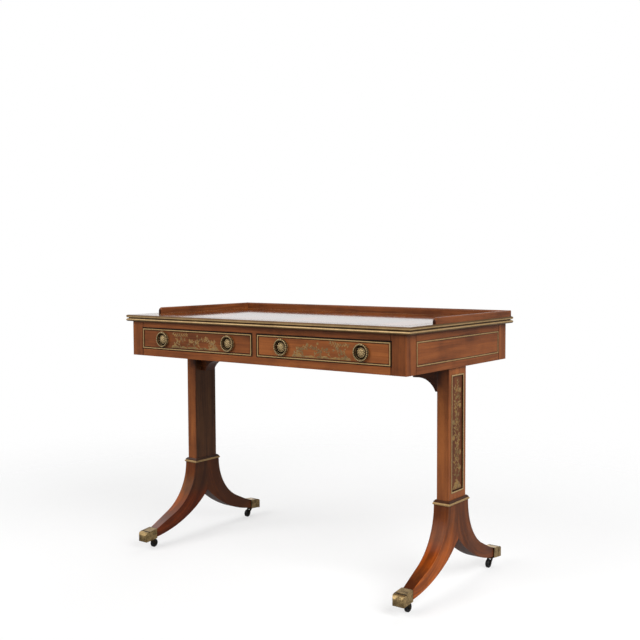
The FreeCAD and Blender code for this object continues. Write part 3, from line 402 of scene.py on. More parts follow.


# Painted light and shade on the front legs: painted highlights low on the outer side and on the curve,
# painted shade near the caps and high on the curve.
FRONT_LEG_PAINTED_LIGHT = (
    Band(64.0, 98.0, 110.0, (2.6, 2.3, 1.5), Face.OUTER),
    Band(108.0, 130.0, 34.0, (1.5, 1.1, 0.6), Face.CURVED),
    Band(0.0, 68.0, 30.0, (0.72, 0.52, 0.46), Face.CURVED),
    Band(206.0, 270.0, 34.0, (0.88, 0.8, 0.74), Face.CURVED))
# The left front leg also gets a painted sheen on its curve and painted shade on its inner side.
LEFT_LEG_PAINTED_LIGHT = (
    Band(110.0, 190.0, 34.0, (1.2, 1.4, 1.3), Face.CURVED),
    Band(180.0, 260.0, 50.0, (0.62, 0.7, 0.88), Face.INNER),
    Band(0.0, 130.0, 50.0, (1.02, 0.66, 0.38), Face.INNER))
TOE_POLISH = Band(30.0, 66.0, 36.0, WHITE, Face.CURVED)


@dataclass(frozen=True)
class Wood:
    """Polished or plain wood with grain, pores and the smudges of age.

    The shift sets the pieces' figures apart: along the grain, across it and in the smudges. The sway is how
    far the grain wanders aside, and the relief how deep it is.
    """

    name: str
    dark: Colour
    middle: Colour
    light: Colour
    roughness: float
    coat: float
    pore: float = 0.35
    smudge: float = 0.45
    film: float = 0.12
    gloss: float = 0.3
    grime: Colour = (0.34, 0.3, 0.3)
    stops: tuple[float, float, float] = (0.32, 0.5, 0.68)
    pore_cut: Spot = (0.56, 0.72)
    smudge_cut: Spot = (0.52, 0.8)
    shift: tuple[float, float, float] = (371.0, 53.0, 70.0)
    sway: float = 26.0
    relief: float = 0.12
    wander: Mottle = Mottle((260.0, 90.0, 90.0))
    broad: Mottle = Mottle((260.0, 24.0, 24.0), 3.0)
    streak: Mottle = Mottle((190.0, 4.2, 6.0), 4.0, 0.6)
    fine: Mottle = Mottle((9.0, 0.55, 0.9))
    cloud: Mottle = Mottle((70.0, 70.0, 70.0), 4.0, 0.6)

    def material(self, run: Run, seed: float, tone: float = 0.0, *edgings: Edging | Band,
                 polish: Band | None = None) -> bpy.types.Material:
        """Make the finish for one piece.

        Args:
            run: gives the distances along, across and through the grain.
            seed: shift of the figure, so that no two pieces share it.
            tone: how much lighter, or darker below 0, the piece is than the others.
            edgings: painted shade and painted light, or dark joints, beside lines or between heights on the
                piece.
            polish: where the lacquer is at its thickest, if anywhere.

        Returns:
            The material.
        """
        board = Board(f"{self.name}_{seed:.0f}")
        place = board.place()
        x, y, z = place
        along, across, through = run(board, place)
        along = along + seed * self.shift[0]
        across = across + seed * self.shift[1]
        wander = self.wander.draw(board, (along, across, through)) - 0.5
        fibre = (along, across + wander * self.sway, through)
        broad = self.broad.draw(board, fibre)
        streak = self.streak.draw(board, fibre)
        cloud = self.cloud.draw(board, (x + seed * self.shift[2], y, z))
        figure = broad * 0.5 + streak * 0.3 + cloud * 0.3 - 0.05 + tone
        colour = board.ramp(figure, tuple(zip(self.stops, (self.dark, self.middle, self.light))))
        pores = board.ease(self.fine.draw(board, fibre), *self.pore_cut)
        age = board.ease(cloud, *self.smudge_cut) * self.smudge
        for share in (pores * self.pore, age):
            colour = board.shade(share, colour, self.grime)
        for edging in edgings:
            colour = board.shade(edging.share(board, place), colour, edging.tint)
        coat: Feed = self.coat
        if polish:
            coat = polish.share(board, place) * (1.0 - self.coat) + self.coat
        sheen = streak * 0.12 + age * 0.2 + self.roughness - 0.06
        relief = board.bump(streak * 0.4 - pores * 0.6, self.relief, 0.5)
        return board.close(Base_Color=colour, Roughness=sheen, Normal=relief, Coat_Weight=coat,
                           Coat_Roughness=self.film, Specular_IOR_Level=self.gloss)


@dataclass(frozen=True)
class Knot:
    """A dark spot of a veneer leaf: out from the leaf's heart, up from the seam, and its half sizes."""

    out: float
    up: float
    wide: float
    high: float

    def share(self, board: Board, out: Wire, up: Wire, spread: float = 1.0) -> Wire:
        """How dark the spot is.

        Args:
            board: the finish's nodes.
            out: distance from the heart of the leaf.
            up: distance from the seam.
            spread: how many times its own size it is taken.

        Returns:
            1 inside the spot, fading to 0 outside.
        """
        across = (out - self.out) / (self.wide * spread)
        along = (up - self.up) / (self.high * spread * spread)
        return board.ease(across * across + along * along, 1.4, 0.15)


@dataclass(frozen=True)
class Burl:
    """Figured field veneer: mirrored leaves of brown heartwood, orange sapwood and clusters of eyes.

    Heartwood fills the middle of a leaf as far as its edge, and comes back further out in a lobe. Away from
    the seam the lobe closes between its start and its end, sooner in the outer leaves and later at the back.
    """

    leaf: float = 168.5
    shift: float = 4.0
    seam: float = -7.5
    heart_edge: float = 51.0
    edge_half: float = 17.0
    lobe_middle: float = 146.0
    lobe_half: float = 36.0
    lobe_start: float = 90.0
    lobe_end: float = 275.0
    lobe_close: float = 16.0
    outer_cut: float = 44.0
    back_reach: float = 70.0
    back_rise: float = 60.0
    heart: Colour = (0.215, 0.061, 0.012)
    shadow: Colour = (0.085, 0.025, 0.007)
    sap: Colour = (0.5, 0.13, 0.008)
    deep_sap: Colour = (0.17, 0.036, 0.006)
    eye: Colour = (0.016, 0.008, 0.005)
    smoke: Colour = (0.34, 0.27, 0.24)
    roughness: float = 0.04
    coat: float = 0.45
    film: float = 0.02
    gloss: float = 0.4
    relief: float = 0.06
    heart_cut: Spot = (0.36, 0.66)
    gold_cut: Spot = (0.4, 0.72)
    lobe_cut: Spot = (-13.0, 12.0)
    blot_cut: Spot = (0.44, 0.6)
    cell_cut: Spot = (0.6, 0.12)
    seam_cut: Spot = (0.9, 0.2)
    pore_cut: Spot = (0.56, 0.75)
    sway: Mottle = Mottle((240.0, 200.0, 1.0))
    flow: Mottle = Mottle((30.0, 60.0, 1.0), 3.0)
    streak: Mottle = Mottle((2.2, 110.0, 1.0), 4.0, 0.65)
    broad: Mottle = Mottle((12.0, 170.0, 1.0), 3.0)
    cloud: Mottle = Mottle((60.0, 160.0, 1.0), 3.0)
    blot: Mottle = Mottle((9.0, 7.0, 1.0), 4.0, 0.65)
    fine: Mottle = Mottle((0.5, 12.0, 1.0))
    cell: float = 6.5
    cluster: Knot = Knot(66.0, 29.0, 28.0, 22.0)
    knots: tuple[Knot, ...] = (
        Knot(52.0, 151.0, 7.0, 7.5), Knot(47.0, 105.0, 3.4, 6.0), Knot(12.0, 158.0, 2.8, 4.4),
        Knot(107.0, 103.0, 4.6, 7.0), Knot(152.0, 47.0, 2.6, 4.0), Knot(138.0, 56.0, 2.2, 3.2),
        Knot(47.0, 222.0, 5.0, 5.0))

    def material(self) -> bpy.types.Material:
        """Make the finish of the field.

        Returns:
            The material.
        """
        board = Board("figured_field")
        x, y, _ = board.place()
        sway = self.sway.draw(board, (x, y, 7.0)) - 0.5
        out = board.maths("PINGPONG", x + 4.0 * self.leaf - self.shift + sway * 16.0, self.leaf)
        up = abs(y - self.seam) + sway * 20.0
        flow = self.flow.draw(board, (out, up, sway * 2.0)) - 0.5
        streak = self.streak.draw(board, (out, up, sway * 3.0))
        broad = self.broad.draw(board, (out, up, 5.0))
        cloud = self.cloud.draw(board, (x, y, 11.0))
        bent = out + flow * 34.0 + (streak - 0.5) * 16.0

        figure = broad * 0.55 + streak * 0.45
        heart = board.mix(board.ease(figure, *self.heart_cut), self.shadow, self.heart)
        gold = board.mix(board.ease(streak * 0.35 + cloud * 0.75, *self.gold_cut), self.deep_sap, self.sap)
        reach = self.lobe_end - (abs(x) > self.leaf) * self.outer_cut
        reach = reach + board.ease(y - self.seam, 0.0, self.back_rise) * self.back_reach
        flame = up + (streak - 0.5) * 90.0 + flow * 60.0
        closing = board.ease(flame, self.lobe_start, reach) * (self.lobe_half + self.lobe_close)
        outside = board.ease(abs(bent - self.lobe_middle) - (self.lobe_half - closing), *self.lobe_cut)
        sap = board.ease(bent, self.heart_edge - self.edge_half, self.heart_edge + self.edge_half) * outside
        colour = board.mix(sap * 0.96, heart, gold)
        colour = board.shade(sap * (1.0 - sap) * 0.9, colour, self.smoke)

        warped = out + flow * 14.0
        risen = up + (cloud - 0.5) * 16.0
        core = board.most(*(knot.share(board, warped, risen) for knot in self.knots))
        halos = (knot.share(board, warped, risen, 1.9) * 0.8 for knot in self.knots)
        fume = board.most(self.cluster.share(board, warped, risen, 1.35), *halos)
        swirl = board.join(warped / self.cell + flow * 2.0, risen / self.cell, sway * 4.0)
        cells = board.add("TexVoronoi", {"feature": "F1"}, {"Vector": swirl, "Scale": 1.0}, "Distance")
        blot = board.ease(self.blot.draw(board, (warped, risen, 13.0)), *self.blot_cut)
        eyes = board.most(blot * 0.75, board.ease(cells, *self.cell_cut))
        eyes = eyes * self.cluster.share(board, warped, risen)
        colour = board.shade(fume * 0.8, colour, self.smoke)
        colour = board.mix(board.most(core * 0.88, eyes * 0.8), colour, self.eye)
        seam = board.ease(abs(y - self.seam), *self.seam_cut)
        pores = board.ease(self.fine.draw(board, (x, y, 9.0)), *self.pore_cut)
        colour = board.shade(board.most(seam * 0.6, pores * 0.35), colour, self.smoke)
        sheen = streak * 0.04 + self.roughness
        relief = board.bump(streak, self.relief, 0.4)
        return board.close(Base_Color=colour, Roughness=sheen, Normal=relief, Coat_Weight=self.coat,
                           Coat_Roughness=self.film, Specular_IOR_Level=self.gloss)


@dataclass(frozen=True)
class Brass:
    """Aged brass with brown tarnish in patches."""

    name: str
    bright: Colour
    dull: Colour
    tarnish: float
    roughness: float
    metal: float = 1.0
    patch: float = 24.0
    # colour a shade darkens towards: painted shade, and patina in the pulls' hollows
    black: Colour = (0.09, 0.075, 0.065)
    pit: Colour = (0.3, 0.26, 0.22)
    relief: float = 0.08
    age_cut: Spot = (0.4, 0.66)
    pit_cut: Spot = (0.62, 0.8)
    speck: Mottle = Mottle((3.0, 3.0, 3.0), 3.0, 0.6)

    def material(self, shade: Shade | None = None) -> bpy.types.Material:
        """Make the finish.

        Args:
            shade: gives where the piece is nearly black, if anywhere: painted shade that leaves painted
                highlights, with some patina in hollows.

        Returns:
            The material.
        """
        board = Board(self.name)
        place = board.place()
        cloud = Mottle((self.patch,) * 3, 4.0, 0.65).draw(board, place)
        speck = self.speck.draw(board, place)
        age = board.ease(cloud * 0.7 + speck * 0.35, *self.age_cut) * self.tarnish
        colour = board.mix(age, self.bright, self.dull)
        if shade:
            colour = board.shade(shade(board, place), colour, self.black)
        colour = board.shade(board.ease(speck, *self.pit_cut) * 0.5, colour, self.pit)
        return board.close(Base_Color=colour, Metallic=self.metal - age * 0.3,
                           Roughness=age * 0.26 + self.roughness, Normal=board.bump(speck, self.relief, 0.4))


@dataclass(frozen=True)
class Gilt:
    """Worn paint in gold, pale gold and olive, dark where it is rubbed through."""

    name: str = "worn_gilt"
    gold: Colour = (0.42, 0.235, 0.075)
    pale: Colour = (0.47, 0.32, 0.14)
    olive: Colour = (0.23, 0.15, 0.06)
    worn: Colour = (0.1, 0.042, 0.02)
    metal: float = 0.3
    roughness: float = 0.42
    relief: float = 0.1
    pale_cut: Spot = (0.42, 0.6)
    olive_cut: Spot = (0.46, 0.6)
    wear_cut: Spot = (0.52, 0.68)
    patch: Mottle = Mottle((21.0, 21.0, 21.0), 3.0)
    cloud: Mottle = Mottle((8.0, 8.0, 8.0), 3.0)
    speck: Mottle = Mottle((1.8, 1.8, 1.8), 3.0, 0.6)

    def material(self) -> bpy.types.Material:
        """Make the finish.

        Returns:
            The material.
        """
        board = Board(self.name)
        place = board.place()
        patch, cloud, speck = (part.draw(board, place) for part in (self.patch, self.cloud, self.speck))
        colour = board.mix(board.ease(cloud, *self.pale_cut), self.gold, self.pale)
        colour = board.mix(board.ease(patch, *self.olive_cut) * 0.85, colour, self.olive)
        wear = board.ease(cloud * 0.5 + speck * 0.6, *self.wear_cut)
        colour = board.mix(wear * 0.85, colour, self.worn)
        return board.close(Base_Color=colour, Metallic=self.metal - wear * 0.25,
                           Roughness=wear * 0.2 + self.roughness, Normal=board.bump(speck, self.relief, 0.5))


@dataclass(frozen=True)
class Plain:
    """Evenly coloured metal or rubber with dust and small scuffs."""

    name: str
    colour: Colour
    dust: Colour
    metallic: float
    roughness: float
    relief: float = 0.1
    dust_cut: Spot = (0.5, 0.75)
    speck: Mottle = Mottle((2.2, 2.2, 2.2), 4.0, 0.65)

    def material(self) -> bpy.types.Material:
        """Make the finish.

        Returns:
            The material.
        """
        board = Board(self.name)
        speck = self.speck.draw(board, board.place())
        dusty = board.ease(speck, *self.dust_cut) * 0.6
        colour = board.mix(dusty, self.colour, self.dust)
        return board.close(Base_Color=colour, Roughness=dusty * 0.3 + self.roughness, Metallic=self.metallic,
                           Normal=board.bump(speck, self.relief, 0.4))


MAHOGANY = Wood(
    "mahogany", (0.11, 0.032, 0.011), (0.25, 0.075, 0.022), (0.4, 0.127, 0.034), roughness=0.3, coat=0.1)
BORDER_WOOD = Wood(
    "border_mahogany", (0.11, 0.031, 0.01), (0.25, 0.072, 0.02), (0.4, 0.124, 0.032), roughness=0.1,
    coat=0.45, film=0.03)
LEG_WOOD = Wood(
    "leg_mahogany", (0.1, 0.026, 0.006), (0.235, 0.062, 0.012), (0.38, 0.11, 0.02), roughness=0.36, coat=0.2)
DARK_WOOD = Wood(
    "dark_wood", (0.03, 0.012, 0.007), (0.06, 0.022, 0.011), (0.1, 0.037, 0.017), roughness=0.34, coat=0.2)
DRAWER_WOOD = Wood(
    "drawer_wood", (0.28, 0.16, 0.075), (0.4, 0.25, 0.125), (0.5, 0.33, 0.18), roughness=0.55, coat=0.0,
    pore=0.3, smudge=0.3)
# The black colours below are what painted shade darkens each brass towards; on the pulls it is partly patina
# in the hollows.
CAP_BRASS = Brass(
    "cap_brass", (0.96, 0.67, 0.31), (0.17, 0.11, 0.046), tarnish=0.92, roughness=0.2, patch=14.0)
EDGE_BRASS = Brass(
    "edge_brass", (0.92, 0.64, 0.31), (0.5, 0.33, 0.15), tarnish=0.75, roughness=0.3, metal=0.75, patch=60.0,
    black=(0.2, 0.14, 0.11))
LINE_BRASS = Brass(
    "line_brass", (0.72, 0.47, 0.21), (0.36, 0.222, 0.09), tarnish=0.7, roughness=0.34, metal=0.6)
FRAME_BRASS = Brass(
    "frame_brass", (0.9, 0.62, 0.3), (0.5, 0.32, 0.14), tarnish=0.6, roughness=0.34, metal=0.6,
    black=(0.1, 0.075, 0.06))
BEAD_BRASS = Brass(
    "bead_brass", (0.95, 0.66, 0.31), (0.56, 0.37, 0.155), tarnish=0.6, roughness=0.3, metal=0.6,
    black=(0.16, 0.11, 0.07))
PULL_BRASS = Brass(
    "pull_brass", (1.0, 0.73, 0.37), (0.4, 0.26, 0.11), tarnish=0.7, roughness=0.2, metal=0.8,
    black=(0.045, 0.034, 0.026))
FORK_BRASS = Brass("fork_brass", (0.1, 0.075, 0.04), (0.02, 0.016, 0.012), tarnish=0.9, roughness=0.3)
SCREW_STEEL = Plain("screw_steel", (0.3, 0.29, 0.28), (0.1, 0.07, 0.05), metallic=0.9, roughness=0.4)
WHEEL_BLACK = Plain("wheel_black", (0.008, 0.008, 0.009), (0.05, 0.045, 0.04), metallic=0.0, roughness=0.28)


def dress(node: str, material: bpy.types.Material) -> None:
    """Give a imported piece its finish.

    Args:
        node: the piece's name.
        material: its finish.
    """
    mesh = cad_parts[node].data
    mesh.materials.clear()
    mesh.materials.append(material)
    log.info("dressed %s in %s", node, material.name)


class Mould:
    """A mesh in the making: points and the faces between them."""

    def __init__(self) -> None:
        """Start empty."""
        self.points: list[Vector] = []
        self.faces: list[tuple[int, ...]] = []

    def grid(self, rows: Sequence[Sequence[Vector]], closed: bool = False) -> None:
        """Add a sheet through rows of points.

        Args:
            rows: rows of equally many points.
            closed: whether each row runs round to its start.
        """
        start = len(self.points)
        count = len(rows[0])
        for row in rows:
            self.points.extend(row)
        for level in range(len(rows) - 1):
            near = start + level * count
            far = near + count
            for step in range(count if closed else count - 1):
                following = (step + 1) % count
                self.faces.append((near + step, near + following, far + following, far + step))

    def fan(self, hub: Vector, rim: Sequence[Vector]) -> None:
        """Add a low cone of triangles.

        Args:
            hub: its tip.
            rim: the points round its foot.
        """
        start = len(self.points)
        self.points.append(hub)
        self.points.extend(rim)
        for step in range(len(rim)):
            self.faces.append((start, start + 1 + step, start + 1 + (step + 1) % len(rim)))

    def piece(self, name: str, material: bpy.types.Material, body: str) -> None:
        """Turn the mesh into a piece that moves with a body.

        Args:
            name: the piece's name.
            material: its finish.
            body: the body that carries it.
        """
        mesh = bpy.data.meshes.new(name)
        mesh.from_pydata([tuple(point) for point in self.points], [], self.faces)
        mesh.materials.append(material)
        mesh.shade_smooth()
        mesh.update()
        made = bpy.data.objects.new(name, mesh)
        bpy.context.scene.collection.objects.link(made)
        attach(made, body)
        log.info("made %s, %d faces, on %s", name, len(self.faces), body)


@dataclass
class Relief:
    """Slightly raised gilt ornament on a flat panel, with its stems and leaves in millimetres."""

    middle: Vector
    across: Vector
    up: Vector
    out: Vector
    lift: float = 0.12
    crown: float = 0.45
    stem_width: float = 1.9
    leaf_heart: float = 0.45
    leaf_width: float = 0.42
    mould: Mould = field(default_factory=Mould)

    def at(self, u: float, v: float, height: float) -> Vector:
        """A point of the panel: across from its middle, above it and out of it, in millimetres."""
        return self.middle + (self.across * u + self.up * v + self.out * height) * MM

    def leaf(self, foot: Spot, angle: float, length: float, width: float) -> None:
        """Add a pointed leaf.

        Args:
            foot: where it grows from.
            angle: which way it points, in degrees.
            length: from its foot to its tip.
            width: across its middle.
        """
        turn = math.radians(angle)
        ahead = (math.cos(turn), math.sin(turn))
        rim = []
        steps = 5
        for side in (1, -1):
            for step in range(steps):
                share = step / steps if side > 0 else 1 - step / steps
                swell = side * width / 2 * math.sin(math.pi * share ** 0.8)
                reach = length * share
                rim.append(self.at(foot[0] + ahead[0] * reach - ahead[1] * swell,
                                   foot[1] + ahead[1] * reach + ahead[0] * swell, self.lift))
        heart = length * self.leaf_heart
        self.mould.fan(self.at(foot[0] + ahead[0] * heart, foot[1] + ahead[1] * heart, self.crown), rim)

    def stem(self, path: Sequence[Spot], width: float) -> None:
        """Add a ribbon along a path, thinner towards its end.

        Args:
            path: the points that it follows.
            width: its width at the start.
        """
        rows = []
        for number, (u, v) in enumerate(path):
            before = path[max(number - 1, 0)]
            after = path[min(number + 1, len(path) - 1)]
            run = math.hypot(after[0] - before[0], after[1] - before[1])
            normal = (-(after[1] - before[1]) / run, (after[0] - before[0]) / run)
            half = width / 2 * (1 - 0.7 * number / (len(path) - 1))
            rows.append([self.at(u + normal[0] * half, v + normal[1] * half, self.lift),
                         self.at(u, v, self.crown),
                         self.at(u - normal[0] * half, v - normal[1] * half, self.lift)])
        self.mould.grid(rows)

    def bank(self, foot: Spot, width: float, height: float, waves: float) -> None:
        """Add a low bank of ground with a wavy crest.

        Args:
            foot: the middle of its foot.
            width: its length along the foot.
            height: its height.
            waves: half waves along its crest.
        """
        steps = 14
        low, crest, high = [], [], []
        for step in range(steps + 1):
            share = step / steps
            rise = height * math.sin(math.pi * share) ** 0.6 * (1 + 0.22 * math.sin(waves * math.pi * share))
            u = foot[0] + (share - 0.5) * width
            low.append(self.at(u, foot[1], self.lift))
            crest.append(self.at(u, foot[1] + rise * 0.55, self.crown))
            high.append(self.at(u, foot[1] + rise + 0.2, self.lift))
        self.mould.grid([low, crest, high])

    def blossom(self, heart: Spot, radius: float, petals: int = 5) -> None:
        """Add a flower of round petals."""
        for petal in range(petals):
            self.leaf(heart, 90 + 360 * petal / petals, radius, radius * 0.85)

    def spray(self, path: Sequence[Spot], length: float, gap: float, chance: random.Random) -> None:
        """Add a stem with leaves on alternate sides.

        Args:
            path: the stem's points.
            length: length of the largest leaves.
            gap: distance between leaves.
            chance: source of small differences.
        """
        self.stem(path, self.stem_width)
        travelled, side = 0.0, 1
        for (u0, v0), (u1, v1) in zip(path, path[1:]):
            run = math.hypot(u1 - u0, v1 - v0)
            heading = math.degrees(math.atan2(v1 - v0, u1 - u0))
            travelled += run
            if travelled >= gap:
                travelled = 0.0
                size = length * chance.uniform(0.65, 1.0)
                self.leaf((u1, v1), heading + side * chance.uniform(32, 62), size, size * self.leaf_width)
                side = -side
        self.leaf(path[-1], heading, length * 0.8, length * 0.3)


def arc_path(start: Spot, heading: float, bend: float, length: float, steps: int = 14) -> list[Spot]:
    """A path that bends evenly.

    Args:
        start: where it starts.
        heading: its first direction in degrees.
        bend: how far it turns in all, in degrees.
        length: its length in millimetres.
        steps: how many runs it has.

    Returns:
        The points.
    """
    points = [start]
    for step in range(steps):
        turn = math.radians(heading + bend * step / steps)
        u, v = points[-1]
        points.append((u + math.cos(turn) * length / steps, v + math.sin(turn) * length / steps))
    return points


@dataclass
class TableTop:
    """The veneered top with its border, brass edge and gallery."""

    half_width: float = 527.5
    half_depth: float = 286.0
    side_border: float = 47.0
    front_border: float = 47.0
    back_border: float = 62.0
    line_middle: Spot = (0.0, -7.5)
    line_half: Spot = (480.5, 231.5)
    # heights of the painted highlight lines on the two edge beads
    rubbed_lines: Spot = (748.0, 756.0)
    gallery_middle: Spot = (0.0, 200.0)
    gallery_end: Spot = (600.0, 358.0)

    def dress(self) -> None:
        """Finish the top's pieces."""
        black_line = Edging(
            Plane.TOP, self.line_middle, self.line_half, full=1.4, none=2.2, tint=(0.06, 0.05, 0.05))
        # Painted shade on the front ends of the gallery sides.
        end = Edging(
            Plane.TOP, self.gallery_middle, self.gallery_end, full=1.0, none=4.0, tint=(0.16, 0.12, 0.11))
        dress("top_veneer", Burl(seam=self.line_middle[1]).material())
        dress("top_border", BORDER_WOOD.material(self.mitred, 1, -0.13, black_line))
        # The core shows only in the groove between the edge beads, where its dark wood stands in for painted
        # shade of the groove.
        dress("top_core", DARK_WOOD.material(Grain.WIDTH.run, 2))
        dress("gallery_back", MAHOGANY.material(Grain.WIDTH.run, 3, -0.1))
        dress("gallery_sides", MAHOGANY.material(Grain.DEPTH.run, 4, -0.06, end))
        dress("top_stringing", LINE_BRASS.material())
        # The edge beads get painted shade and painted highlight lines.
        dress("edge_beads", EDGE_BRASS.material(self.unrubbed))

    def unrubbed(self, board: Board, place: Place) -> Wire:
        """Painted shade on the edge beads, everywhere but along a painted highlight line on each."""
        lower, upper = (abs(place[2] - line) for line in self.rubbed_lines)
        return board.ease(board.maths("MINIMUM", lower, upper), 0.9, 2.7) * 0.9

    def mitred(self, board: Board, place: Place) -> Place:
        """Grain along each border board, turning at the mitres.

        Args:
            board: the finish's nodes.
            place: the point on the border.

        Returns:
            The distances along, across and through the grain.
        """
        x, y, z = place
        border = self.front_border + (y > 0.0) * (self.back_border - self.front_border)
        side = ((self.half_width - abs(x)) / self.side_border) < ((self.half_depth - abs(y)) / border)
        other = 1.0 - side
        return x * other + y * side, y * other + x * side, z


@dataclass
class Frieze:
    """The drawer case under the top."""

    seed: int = 5
    opening_middle: Spot = (239.0, 689.25)
    opening_half: Spot = (229.0, 32.25)
    apron_middle: Spot = (0.0, 687.5)
    apron_half: Spot = (228.0, 31.0)
    case_middle: Spot = (0.0, 689.25)
    case_half: Spot = (468.0, 200.0)
    apron_end: Spot = (233.0, 200.0)

    def dress(self) -> None:
        """Finish the case's pieces."""
        # Painted shadow of the gap round each drawer on the posts, rails and divider, and a thinner painted
        # shadow on the bottom rail.
        painted_gap_shadow = Edging(
            Plane.FRONT, self.opening_middle, self.opening_half, full=1.8, none=3.8,
            tint=(0.03, 0.026, 0.024))
        painted_sill_shadow = Edging(
            Plane.FRONT, self.opening_middle, self.opening_half, full=0.5, none=2.6, tint=(0.12, 0.1, 0.09))
        seam = Edging(
            Plane.FRONT, self.case_middle, self.case_half, full=0.6, none=2.8, tint=(0.2, 0.17, 0.16))
        # Painted shade beside the brass stringing on the side aprons.
        panel = Edging(
            Plane.SIDE, self.apron_middle, self.apron_half, full=2.0, none=4.0, tint=(0.1, 0.085, 0.08))
        joint = Edging(
            Plane.SIDE, self.apron_middle, self.apron_end, full=0.8, none=3.0, tint=(0.12, 0.1, 0.09))
        boards = (
            ("front_posts", Grain.HEIGHT, -0.02, (painted_gap_shadow,)),
            ("back_posts", Grain.HEIGHT, -0.02, (joint,)),
            ("front_top_rail", Grain.WIDTH, -0.04, (painted_gap_shadow, seam)),
            ("front_bottom_rail", Grain.WIDTH, 0.0, (painted_sill_shadow, seam)),
            ("drawer_divider", Grain.HEIGHT, -0.04, (painted_gap_shadow,)),
            ("left_apron", Grain.DEPTH, 0.0, (panel,)),
            ("right_apron", Grain.DEPTH, 0.0, (panel,)),
            ("back_apron", Grain.WIDTH, 0.0, ()))
        for number, (node, grain, tone, shades) in enumerate(boards, self.seed):
            dress(node, MAHOGANY.material(grain.run, number, tone, *shades))
        inside = ("side_runners", "centre_runner", "kickers", "drawer_stops")
        for number, node in enumerate(inside, self.seed + len(boards)):
            dress(node, DRAWER_WOOD.material(Grain.DEPTH.run, number))
        dress("apron_stringing", LINE_BRASS.material())
        dress("top_screws", SCREW_STEEL.material())


